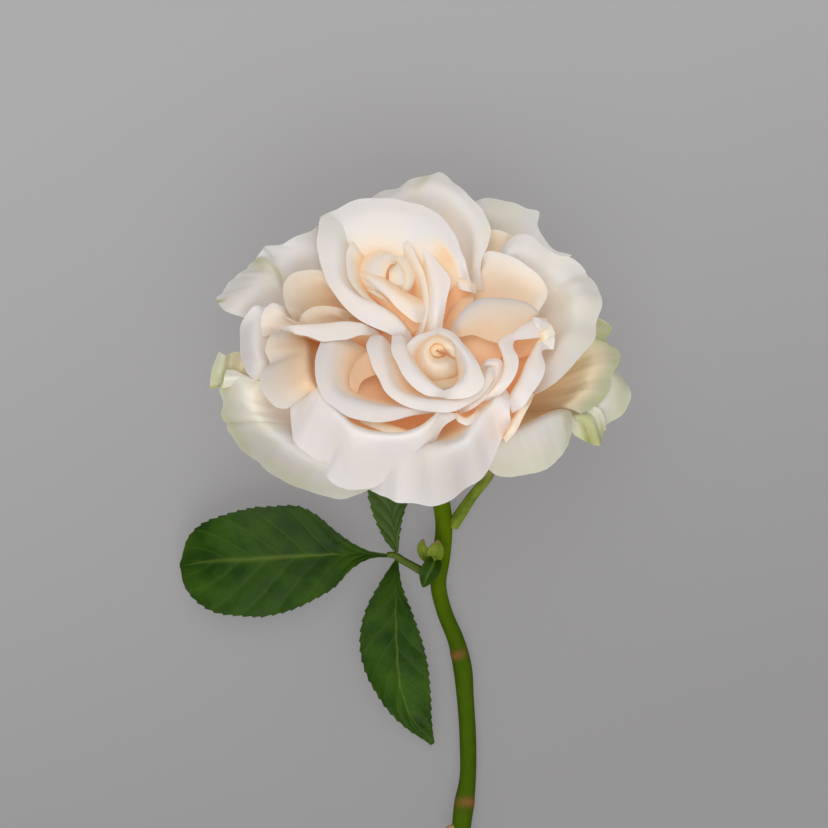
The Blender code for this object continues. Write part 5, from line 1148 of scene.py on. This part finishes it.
def stem_tube(look):
    """The stem: a round bar whose radius swells at its nodes, with five faint ribs that wind round it.

    Its last rings lean over into the plane of the slanted cut.
    """
    path, radii = stem_line()
    ahead = unit(path[-1] - path[-2])
    path = np.concatenate((path, path[-1] + ahead * np.array(CUT_RINGS)[:, :1]))
    radii = np.concatenate((radii, radii[-1] * np.array(CUT_RINGS)[:, 1]))
    turns = around(STEM_SIDES)
    down = np.linspace(0.0, 1.0, len(path))
    scar = np.zeros((len(path), STEM_SIDES))
    for v, turn, width in SCARS:
        middle = seen(((0.0, v, 3.0),))[0, 1]
        off = (path[:, 1] - middle)[:, None] + 0.7 * np.sin(turns + turn)
        facing = 0.55 + 0.45 * np.cos(turns - turn)
        scar = np.maximum(scar, np.exp(-((off / width) ** 2)) * facing)
    relief = ribbed(STEM_SIDES, down, STEM_RIB, 9.0) + STEM_SCAR * scar
    cut = np.arange(len(path)) > len(path) - len(CUT_RINGS)
    marks = {"scar": scar, "young": ease(1.0 - 3.6 * down), "cut": cut}
    made = tube("stem_skin", path, radii, STEM_SIDES, look, marks, relief)
    points = np.zeros(len(made.data.vertices) * 3)
    made.data.vertices.foreach_get("co", points)
    points = points.reshape(-1, 3)
    end = path[-1] * MM
    near = ease(1.0 - (points[:, 1] - end[1]) / (CUT_LEAN * MM))
    points[:, 1] -= near * math.tan(CUT_SLANT) * (points[:, 2] - end[2])
    made.data.vertices.foreach_set("co", points.astype(np.float32).ravel())
    made.data.update()
    return made


def prickle(number, place, turn, height, path, radii, look):
    """A prickle: a hooked cone that leaves the stem with a broad foot and bends down it."""
    index = int(place * (len(path) - 1))
    foot, skin = path[index], radii[index]
    ahead = unit(path[index + 1] - foot)
    right = unit(np.cross((0.0, 0.0, -1.0), ahead))
    turn = math.radians(turn)
    out = math.cos(turn) * right + math.sin(turn) * np.array((0.0, 0.0, 1.0))
    line = np.array((
        foot + out * skin * PRICKLE_SUNK,
        foot + out * (skin + 0.45 * height) + ahead * PRICKLE_HOOK * 0.2,
        foot + out * (skin + height) + ahead * PRICKLE_HOOK,
    ))
    down = np.linspace(0.0, 1.0, 18)
    radius = PRICKLE_FOOT * (1.0 - down) ** 1.25 + PRICKLE_POINT * down
    return tube(f"prickle_{number}", smooth(line, down), radius, 14, look, {"tip": ease(down * 1.6 - 0.5)})


def hip_skin(look):
    """The hip, turned round the bloom's axis: the smooth curve through its profile, with faint ribs."""
    rise = np.linspace(0.0, 1.0, 50)
    line = smooth(HIP_PROFILE, rise)
    turns = around(HIP_SIDES)
    radius = line[:, :1] * (1.0 + HIP_RIBS * np.sin(SEPALS * turns))
    heights = np.broadcast_to(line[:, 1:], radius.shape)
    rings = from_bloom(np.stack((radius * np.cos(turns), radius * np.sin(turns), heights), axis=-1))
    ends = from_bloom(np.array(((0.0, 0.0, line[0, 1]), (0.0, 0.0, line[-1, 1]))))
    return closed_skin("hip", rings, ends, rise, look, {"rib": 0.0, "tip": 0.0})


def sepal_sheet(number, look):
    """A tapering sepal that leaves the hip and bends back at its tip.

    Its sides draw in with the square of their distance from its rib, which is a bell curve across it.
    """
    angle = SEPAL_FIRST + 2.0 * math.pi * number / SEPALS
    down = np.linspace(0.0, 1.0, 60)
    line = smooth(SEPAL_LINE, down)
    half = SEPAL_HALF * (1.0 - down**1.6) + SEPAL_TIP
    share = np.linspace(-1.0, 1.0, 25)
    side = half[:, None] * share
    out = line[:, :1] - SEPAL_CURL * side**2
    across = out * math.cos(angle) - side * math.sin(angle)
    up = out * math.sin(angle) + side * math.cos(angle)
    q, p = np.meshgrid(share, down)
    rib = np.exp(-((q / 0.1) ** 2))
    along = line[:, 1:] + SEPAL_CURL * side**2 - 0.15 * rib
    grid = from_bloom(np.stack((across, up, along), axis=-1))
    places = np.stack((q * 0.5 + 0.5, p), axis=-1)
    marks = {"rib": rib, "tip": ease(p * 3.0 - 2.0)}
    return sheet(f"sepal_{number}", grid, places, SEPAL_THICK, look, marks, lift=0.05)


def pointed_bud(name, bud, look):
    """A closed bud along the rose: its radius follows a sine that leans to the foot, with soft ribs."""
    centre, half, radius = bud
    down = np.linspace(0.0, 1.0, 40)
    path = seen((centre,)) + np.array((0.0, half, 0.0)) * (2.0 * down[:, None] - 1.0)
    swell = radius * np.sin(np.pi * np.clip(down, 0.02, 0.985) ** 0.8) ** 0.75
    marks = {"rib": 0.0, "vein": 0.0, "tip": ease(down * 3.0 - 1.9) * 0.8}
    return tube(name, path, swell, 30, look, marks, ribbed(30, down, 0.08))


def side_stalk(look):
    """The side shoot's stalk: a round bar with five soft ribs."""
    down = np.linspace(0.0, 1.0, 70)
    line = smooth(np.column_stack((seen(SIDE_SHOOT_LINE), SIDE_SHOOT_RADII)), down)
    marks = {"rib": 0.0, "tip": ease(down * 2.4 - 1.5) * 0.6}
    return tube("side_stalk", line[:, :3], line[:, 3], 30, look, marks, ribbed(30, down, 0.05))


def node(tree, kind, sockets=None, **settings):
    """A node with its settings, whose sockets take a value or the output that is linked to them."""
    made = tree.nodes.new(kind)
    for name, value in settings.items():
        setattr(made, name, value)
    for name, value in (sockets or {}).items():
        socket = made.inputs[name]
        if isinstance(value, bpy.types.NodeSocket):
            tree.links.new(value, socket)
        elif socket.type == "RGBA":
            socket.default_value = (*value, 1.0)
        else:
            socket.default_value = value
    return made


def mark(tree, name):
    """The value of a surface's attribute."""
    return node(tree, "ShaderNodeAttribute", attribute_name=name).outputs["Fac"]


def maths(tree, kind, first, second=0.0, clamp=False):
    """The result of one sum, kept between 0 and 1 where it is clamped."""
    return node(tree, "ShaderNodeMath", {0: first, 1: second}, operation=kind, use_clamp=clamp).outputs[0]


def colours(tree, share, first, second, kind="MIX"):
    """The first colour turning into the second with the share."""
    made = node(tree, "ShaderNodeMix", {0: share, 6: first, 7: second}, data_type="RGBA", blend_type=kind)
    return made.outputs[2]


def painted(tree, colour, name, strength, paint):
    """The colour with paint over it where the surface has a mark, at this strength."""
    return colours(tree, maths(tree, "MULTIPLY", mark(tree, name), strength), colour, paint)


def ramped(tree, value, first, last, stops):
    """The colour that a ramp from the first to the last, with stops between, gives the value."""
    made = node(tree, "ShaderNodeValToRGB", {"Fac": value})
    ramp = made.color_ramp.elements
    ramp[0].color = (*first, 1.0)
    ramp[1].color = (*last, 1.0)
    for place, colour in stops:
        ramp.new(place).color = (*colour, 1.0)
    return made.outputs["Color"]


def surface_noise(tree, scale, detail=3.0, stretch=None):
    """Noise over the rose's own space or, stretched, over the surface's own map."""
    if stretch is None:
        place = node(tree, "ShaderNodeTexCoord").outputs["Object"]
    else:
        flat = node(tree, "ShaderNodeUVMap", uv_map="surface").outputs["UV"]
        place = node(tree, "ShaderNodeMapping", {"Vector": flat, "Scale": stretch}).outputs["Vector"]
    noise = node(tree, "ShaderNodeTexNoise", {"Vector": place, "Scale": scale, "Detail": detail})
    return noise.outputs["Fac"]


def ranged(tree, value, low, high, to_low=0.0, to_high=1.0):
    """The value, moved from the range low to high into the other range."""
    sockets = {"Value": value, "From Min": low, "From Max": high, "To Min": to_low, "To Max": to_high}
    return node(tree, "ShaderNodeMapRange", sockets).outputs["Result"]


def bumped(tree, height, strength, step=0.0002):
    """The direction of a surface that is roughened by a height, with steps in metres."""
    made = node(tree, "ShaderNodeBump", {"Strength": strength, "Distance": step, "Height": height})
    return made.outputs["Normal"]


def coated(tree, colour, rough, specular, more):
    """The shader of a surface in this colour; more are its further sockets."""
    sockets = {"Base Color": colour, "Roughness": rough, "Specular IOR Level": specular, **more}
    return node(tree, "ShaderNodeBsdfPrincipled", sockets).outputs[0]


def see_through(tree, skin, colour, normal, share):
    """The skin, with this share of it as light of this colour that passes through."""
    through = node(tree, "ShaderNodeBsdfTranslucent", {"Color": colour, "Normal": normal}).outputs[0]
    return node(tree, "ShaderNodeMixShader", {0: share, 1: skin, 2: through}).outputs[0]


def started(name):
    """A new material with an empty tree."""
    made = bpy.data.materials.new(name)
    made.use_nodes = True
    made.node_tree.nodes.clear()
    return made, made.node_tree


def ended(made, shader):
    """The material, with the shader as its surface."""
    node(made.node_tree, "ShaderNodeOutputMaterial", {"Surface": shader})
    return made


def petal_finish():
    """Cream that warms to orange towards the root, with fine streaks along the petal, a green tinge, painted
    shade where a petal lies further back and a painted glow that lifts its shade.
    """
    settings = bpy.context.scene.rose_petals
    made, tree = started("petal_skin")
    streak = surface_noise(tree, 1.0, 4.0, (70.0, 2.5, 1.0))
    cloud = surface_noise(tree, 90.0, 3.0)
    peach = maths(tree, "ADD", mark(tree, "peach"), ranged(tree, cloud, 0.3, 0.7, -0.07, 0.07))
    peach = maths(tree, "ADD", peach, ranged(tree, streak, 0.3, 0.7, -0.035, 0.035), clamp=True)
    stops = ((0.25, settings.warm), (0.55, settings.peach))
    colour = ramped(tree, peach, settings.cream, settings.depth, stops)
    green = maths(tree, "MULTIPLY", mark(tree, "green"), ranged(tree, cloud, 0.3, 0.7, 0.55, 1.25))
    green = maths(tree, "MULTIPLY", green, ranged(tree, streak, 0.3, 0.7, 0.9, 1.1))
    colour = colours(tree, green, colour, settings.green)
    colour = colours(tree, maths(tree, "SUBTRACT", green, 1.0, clamp=True), colour, settings.moss)
    # Painted shade: darkens the colour where the petal lies further back
    dusk = mark(tree, "dusk")
    colour = colours(tree, dusk, colour, settings.dusk, "MULTIPLY")
    # Painted glow: the petal emits its own colour, more where it is peach, less where it has painted shade
    # and more where that is below zero
    share = maths(tree, "MULTIPLY", peach, LIGHT_OF_PEACH)
    share = maths(tree, "ADD", share, maths(tree, "MULTIPLY", dusk, LIGHT_OF_PAINTED_SHADE))
    share = maths(tree, "MAXIMUM", maths(tree, "ADD", share, LIGHT_OF_ALL), 0.0)
    grey = node(tree, "ShaderNodeCombineColor", {"Red": share, "Green": share, "Blue": share})
    lit = colours(tree, 1.0, colour, grey.outputs["Color"], "MULTIPLY")
    grain = maths(tree, "MULTIPLY", surface_noise(tree, 1500.0, 2.0), 0.25)
    normal = bumped(tree, maths(tree, "ADD", streak, grain), 0.15)
    skin = coated(tree, colour, 0.55, 0.3, {
        "Sheen Weight": 0.12, "Sheen Roughness": 0.4, "Normal": normal,
        "Emission Color": lit, "Emission Strength": settings.painted_glow,
    })
    glow = colours(tree, 1.0, colour, (1.0, 0.93, 0.86), "MULTIPLY")
    return ended(made, see_through(tree, skin, glow, normal, settings.glow))


def leaf_finish():
    """Glossy dark green with paler rib and veins, and a paler underside."""
    settings = bpy.context.scene.rose_leaf
    made, tree = started("leaf_skin")
    cloud = surface_noise(tree, 120.0, 4.0)
    colour = colours(tree, ranged(tree, cloud, 0.35, 0.7), settings.dark, settings.light)
    colour = painted(tree, colour, "vein", 0.35, settings.vein)
    colour = painted(tree, colour, "rib", 0.55, settings.rib)
    colour = painted(tree, colour, "outside", 0.65, settings.under)
    rough = ranged(tree, cloud, 0.3, 0.7, 0.30, 0.42)
    normal = bumped(tree, surface_noise(tree, 900.0, 2.0), 0.35)
    skin = coated(tree, colour, rough, 0.10, {"Normal": normal})
    return ended(made, see_through(tree, skin, colour, normal, 0.12))


def stem_finish():
    """Olive green, yellower when young, with reddish scars at the nodes and a pale pith at the cut."""
    settings = bpy.context.scene.rose_stem
    made, tree = started("stem_skin")
    cloud = surface_noise(tree, 150.0, 4.0)
    fibre = surface_noise(tree, 1.0, 3.0, (40.0, 60.0, 1.0))
    colour = colours(tree, mark(tree, "young"), settings.old, settings.young)
    colour = colours(tree, ranged(tree, cloud, 0.4, 0.8, 0.0, 0.5), colour, settings.dark)
    colour = colours(tree, ranged(tree, fibre, 0.55, 0.8, 0.0, 0.35), colour, settings.young)
    colour = painted(tree, colour, "scar", 0.85, settings.scar)
    colour = colours(tree, mark(tree, "cut"), colour, PITH)
    return ended(made, coated(tree, colour, 0.5, 0.03, {"Normal": bumped(tree, fibre, 0.3)}))


def prickle_finish():
    """Yellow-green at the foot, pink above, brown at the point."""
    made, tree = started("prickle_skin")
    cloud = surface_noise(tree, 700.0, 2.0)
    foot, above, point, patch = PRICKLE_COLOURS
    colour = ramped(tree, mark(tree, "tip"), foot, point, ((0.4, above),))
    colour = colours(tree, ranged(tree, cloud, 0.4, 0.8, 0.0, 0.4), colour, patch)
    return ended(made, coated(tree, colour, 0.4, 0.5, {"Normal": bumped(tree, cloud, 0.2, 0.0001)}))


def soft_green_finish(name, light, dark, tip):
    """A soft young green with cloudy patches, a paler rib and a tinted tip."""
    made, tree = started(name)
    cloud = surface_noise(tree, 260.0, 4.0)
    fibre = surface_noise(tree, 1.0, 3.0, (30.0, 8.0, 1.0))
    colour = colours(tree, ranged(tree, cloud, 0.35, 0.7), light, dark)
    colour = painted(tree, colour, "rib", 0.4, light)
    colour = colours(tree, ranged(tree, fibre, 0.55, 0.8, 0.0, 0.4), colour, light)
    colour = colours(tree, mark(tree, "tip"), colour, tip)
    return ended(made, coated(tree, colour, 0.5, 0.15, {"Normal": bumped(tree, fibre, 0.3)}))


def calyx_finish():
    """The green of hip and sepals."""
    return soft_green_finish("calyx_skin", (0.14, 0.21, 0.04), (0.06, 0.12, 0.02), (0.20, 0.17, 0.06))


def shoot_finish():
    """The yellower green of the young shoots."""
    return soft_green_finish("shoot_skin", (0.17, 0.225, 0.018), (0.085, 0.135, 0.006), (0.24, 0.15, 0.06))


def floor_finish():
    """Pale matt grey paper with its own light and painted shade: lighter behind the bloom and to the left,
    with the faintest cloudiness.
    """
    settings = bpy.context.scene.rose_stage
    made, tree = started("floor_paper")
    place = node(tree, "ShaderNodeTexCoord").outputs["Object"]
    sides = node(tree, "ShaderNodeSeparateXYZ", {"Vector": place}).outputs
    # Painted shade: the floor darkens towards the stem's end and to the right, as light falls off
    shade = ranged(tree, sides["Y"], -0.03, 0.20)
    shade = maths(tree, "SUBTRACT", shade, ranged(tree, sides["X"], -0.11, 0.11, -0.16, 0.16))
    cloud = ranged(tree, surface_noise(tree, 3.0, 2.0), 0.3, 0.7, -0.05, 0.05)
    shade = maths(tree, "ADD", shade, cloud, clamp=True)
    colour = colours(tree, shade, settings.floor_painted_shade, settings.floor)
    light = {"Emission Color": colour, "Emission Strength": settings.floor_light}
    return ended(made, coated(tree, colour, 0.9, 0.1, light))


def shared(finish):
    """The material that a function makes, made once."""
    if finish.__name__ not in FINISHES:
        FINISHES[finish.__name__] = finish()
    return FINISHES[finish.__name__]


def build_stage(settings):
    """A floor under the rose, light from all round and from two wide soft lamps, and the camera."""
    side = np.linspace(-1.0, 1.0, 9)
    places = np.stack(np.meshgrid(side, side), axis=-1).reshape(-1, 2)
    points = np.column_stack((places * FLOOR_HALF, np.full(len(places), -FLOOR_BELOW)))
    index = np.arange(len(places)).reshape(len(side), len(side))
    floor = new_object("floor", points, quads(index).tolist(), places, {}, floor_finish())
    world = bpy.data.worlds.new("studio")
    world.use_nodes = True
    sky = world.node_tree.nodes["Background"]
    sky.inputs["Color"].default_value = (1.0, 1.0, 1.0, 1.0)
    sky.inputs["Strength"].default_value = settings.ambient
    bpy.context.scene.world = world
    bpy.context.scene.view_settings.view_transform = "Standard"
    target = mathutils.Vector((*BLOOM_MIDDLE, 0.0)) * MM
    for name, place, share in LAMPS:
        data = bpy.data.lights.new(name, "AREA")
        data.shape = "SQUARE"
        data.size = LAMP_SIZE
        data.energy = settings.key * share
        lamp = bpy.data.objects.new(name, data)
        lamp.location = place
        lamp.rotation_euler = (target - lamp.location).to_track_quat("-Z", "Y").to_euler()
        bpy.context.scene.collection.objects.link(lamp)
    data = bpy.data.cameras.new("camera")
    data.sensor_width = SENSOR
    data.lens = SENSOR * (EYE_HEIGHT - DRAWN_HEIGHT) / (PICTURE_STEPS * GRID)
    camera = bpy.data.objects.new("camera", data)
    camera.location = (-ORIGIN[0] * MM, -ORIGIN[1] * MM, settings.height)
    bpy.context.scene.collection.objects.link(camera)
    bpy.context.scene.camera = camera


def colour_setting(name, description, default):
    """A setting that is a colour."""
    return FloatVectorProperty(name=name, description=description, default=default, subtype="COLOR")


def length_setting(name, description, default):
    """A setting that is a length in metres."""
    return FloatProperty(name=name, description=description, default=default, unit="LENGTH")


def share_setting(name, description, default):
    """A setting between 0 and 1."""
    return FloatProperty(name=name, description=description, default=default, subtype="FACTOR", min=0.0,
                         max=1.0)


class PetalSettings(PropertyGroup):
    """What a user would change about the petals."""

    thick: length_setting("Thickness", "A petal's thickness at its edge", 0.0003)
    ruffle: FloatProperty(name="Ruffle", description="How strongly the edges wave", default=1.0, min=0.0)
    cream: colour_setting("Cream", "Colour of the rims", (0.86, 0.86, 0.87))
    warm: colour_setting("Warm cream", "Colour just inside the rims", (0.92, 0.86, 0.76))
    peach: colour_setting("Peach", "Colour half way down", (0.92, 0.76, 0.55))
    depth: colour_setting("Depth", "Colour at the roots", (0.87, 0.56, 0.30))
    green: colour_setting("Green tinge", "Colour of the guard petals' tinge", (0.66, 0.69, 0.42))
    # Painted shade of the petals that lie further back
    dusk: colour_setting("Dusk", "Tone of the petals that lie further back", (0.66, 0.64, 0.60))
    moss: colour_setting("Moss", "Colour of the greenest folds and tips", (0.48, 0.47, 0.13))
    # Painted glow: emission that stands in for light spreading inside the petals and lifts their shade
    painted_glow: share_setting("Inner light", "Light that has spread inside the petals", 0.17)
    glow: share_setting("Glow", "Share of the light that passes through", 0.45)


class LeafSettings(PropertyGroup):
    """What a user would change about the leaf."""

    thick: length_setting("Thickness", "A leaflet's thickness", 0.0004)
    relief: length_setting("Relief", "How deep the veins lie", 0.00018)
    dark: colour_setting("Dark", "Darker green", (0.010, 0.036, 0.0006))
    light: colour_setting("Light", "Lighter green", (0.031, 0.077, 0.0020))
    vein: colour_setting("Veins", "Colour of the side veins", (0.05, 0.10, 0.01))
    rib: colour_setting("Rib", "Colour of the rib", (0.16, 0.21, 0.03))
    under: colour_setting("Underside", "Colour of the underside", (0.08, 0.14, 0.03))


class StemSettings(PropertyGroup):
    """What a user would change about the stem."""

    young: colour_setting("Young", "Green near the bloom", (0.110, 0.175, 0.0005))
    old: colour_setting("Old", "Green further down", (0.040, 0.078, 0.001))
    dark: colour_setting("Dark", "Darker patches", (0.026, 0.055, 0.001))
    scar: colour_setting("Scar", "Scars at the nodes", (0.20, 0.075, 0.03))


class StageSettings(PropertyGroup):
    """What a user would change about the stage."""

    floor: colour_setting("Floor", "Colour of the floor behind the bloom", (0.147, 0.144, 0.1455))
    # Painted shade: the floor's colour towards the stem's end
    floor_painted_shade: colour_setting("Front floor", "Colour of the floor at the stem's end", (0.107, 0.1045, 0.105))
    floor_light: FloatProperty(name="Floor light", description="The floor's own light, as of a lit table",
                               default=1.6)
    key: FloatProperty(name="Key light", description="Power of the soft lamps", default=9.8, unit="POWER")
    ambient: FloatProperty(name="Ambient", description="Strength of the light from all round", default=0.56)
    height: length_setting("Eye height", "Height of the camera", EYE_HEIGHT * MM)


class MakeHighHeart(Operator):
    """Makes the upper heart: its bud and the petals round it"""

    bl_idname = "rose.high_heart"
    bl_label = "High heart"

    def execute(self, context):
        make_petals(drawn(HIGH_HEART_PETALS + (HIGH_TIP,)), "heart")
        return {"FINISHED"}


class MakeLowHeart(Operator):
    """Makes the lower heart: its bud and the petals round it"""

    bl_idname = "rose.low_heart"
    bl_label = "Low heart"

    def execute(self, context):
        make_petals(drawn(LOW_HEART_PETALS + (LOW_TIP,)), "heart")
        return {"FINISHED"}


class MakeFrontPetals(Operator):
    """Makes the two broad petals that roll out in front"""

    bl_idname = "rose.front_petals"
    bl_label = "Front petals"

    def execute(self, context):
        make_petals(drawn(FRONT_PETALS), "front")
        return {"FINISHED"}


class MakeRightPetals(Operator):
    """Makes the petals behind and to the right of the hearts"""

    bl_idname = "rose.right_petals"
    bl_label = "Right petals"

    def execute(self, context):
        make_petals(drawn(RIGHT_PETALS + DEEP_PETALS), "inner")
        return {"FINISHED"}


class MakeLeftPetals(Operator):
    """Makes the petals to the left of the hearts"""

    bl_idname = "rose.left_petals"
    bl_label = "Left petals"

    def execute(self, context):
        make_petals(drawn(LEFT_PETALS), "inner")
        return {"FINISHED"}


class MakeGuardPetals(Operator):
    """Makes the pale green petals that guard the others"""

    bl_idname = "rose.guard_petals"
    bl_label = "Guard petals"

    def execute(self, context):
        make_petals(drawn(GUARD_PETALS + (GUARD_FLAP,)), "guard")
        return {"FINISHED"}


class MakeRingPetals(Operator):
    """Makes the outermost petals, under the others"""

    bl_idname = "rose.ring_petals"
    bl_label = "Ring petals"

    def execute(self, context):
        make_petals(ring_petals(), "ring")
        return {"FINISHED"}


class MakePetalBases(Operator):
    """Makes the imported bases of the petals, deep in the bloom"""

    bl_idname = "rose.petal_bases"
    bl_label = "Petal bases"

    def execute(self, context):
        placed(core_skin(shared(petal_finish)), "bloom")
        return {"FINISHED"}


class MakeCalyx(Operator):
    """Makes the hip and its sepals"""

    bl_idname = "rose.calyx"
    bl_label = "Calyx"

    def execute(self, context):
        look = shared(calyx_finish)
        placed(hip_skin(look), "calyx")
        for number in range(SEPALS):
            placed(sepal_sheet(number, look), "calyx")
        return {"FINISHED"}


class MakeStem(Operator):
    """Makes the stem with its scars and its slanted cut"""

    bl_idname = "rose.stem"
    bl_label = "Stem"

    def execute(self, context):
        placed(stem_tube(shared(stem_finish)), "stem")
        return {"FINISHED"}


class MakePrickles(Operator):
    """Makes the prickles on the stem"""

    bl_idname = "rose.prickles"
    bl_label = "Prickles"

    def execute(self, context):
        path, radii = stem_line()
        look = shared(prickle_finish)
        for number, (place, turn, height) in enumerate(PRICKLES):
            placed(prickle(number, place, turn, height, path, radii, look), "stem")
        return {"FINISHED"}


class MakeLeaf(Operator):
    """Makes the compound leaf: its petiole and three leaflets"""

    bl_idname = "rose.leaf"
    bl_label = "Leaf"

    def execute(self, context):
        look = shared(leaf_finish)
        placed(petiole_tube(look), "leaf")
        for leaflet in LEAFLETS:
            placed(leaflet_sheet(leaflet, look), "leaf")
        return {"FINISHED"}


class MakeSideShoot(Operator):
    """Makes the flowering side shoot and its closed bud"""

    bl_idname = "rose.side_shoot"
    bl_label = "Side shoot"

    def execute(self, context):
        look = shared(shoot_finish)
        placed(side_stalk(look), "side_shoot")
        placed(pointed_bud("side_bud", SIDE_BUD, look), "side_shoot")
        return {"FINISHED"}


class MakeAxilShoot(Operator):
    """Makes the small shoot where the leaf leaves the stem"""

    bl_idname = "rose.axil_shoot"
    bl_label = "Axil shoot"

    def execute(self, context):
        pale, dark = shared(shoot_finish), shared(leaf_finish)
        placed(pointed_bud("axil_bud", AXIL_BUD, pale), "axil_shoot")
        for name, line, half in AXIL_LEAVES:
            look = dark if name == "axil_folded_leaf" else pale
            placed(small_leaf(name, line, half, look), "axil_shoot")
        return {"FINISHED"}


class MakeStage(Operator):
    """Makes the floor, the soft light and the camera that looks straight down"""

    bl_idname = "rose.stage"
    bl_label = "Stage"

    def execute(self, context):
        build_stage(context.scene.rose_stage)
        return {"FINISHED"}


class RosePanel(Panel):
    """Lists the rose's settings and the operators that make its pieces"""

    bl_idname = "VIEW3D_PT_rose"
    bl_label = "Cut rose"
    bl_space_type = "VIEW_3D"
    bl_region_type = "UI"
    bl_category = "Rose"

    def draw(self, context):
        for title, holder in SETTINGS.items():
            box = self.layout.box()
            settings = getattr(context.scene, title)
            for name in holder.__annotations__:
                box.prop(settings, name)
        for maker in MAKERS:
            self.layout.operator(maker.bl_idname)


SETTINGS = {
    "rose_petals": PetalSettings,
    "rose_leaf": LeafSettings,
    "rose_stem": StemSettings,
    "rose_stage": StageSettings,
}
MAKERS = (
    MakeStage, MakePetalBases, MakeHighHeart, MakeLowHeart, MakeFrontPetals, MakeRightPetals, MakeLeftPetals,
    MakeGuardPetals, MakeRingPetals, MakeCalyx, MakeStem, MakePrickles, MakeLeaf, MakeSideShoot,
    MakeAxilShoot,
)


def register():
    """Makes the settings, the operators and the panel known."""
    for holder in (*SETTINGS.values(), *MAKERS, RosePanel):
        bpy.utils.register_class(holder)
    for title, holder in SETTINGS.items():
        setattr(bpy.types.Scene, title, PointerProperty(type=holder))


def unregister():
    """Takes them away again."""
    for title in SETTINGS:
        delattr(bpy.types.Scene, title)
    for holder in reversed((*SETTINGS.values(), *MAKERS, RosePanel)):
        bpy.utils.unregister_class(holder)


def main():
    """Makes every piece, in order."""
    register()
    for maker in MAKERS:
        group, name = maker.bl_idname.split(".")
        getattr(getattr(bpy.ops, group), name)()


if __name__ == "__main__":
    main()
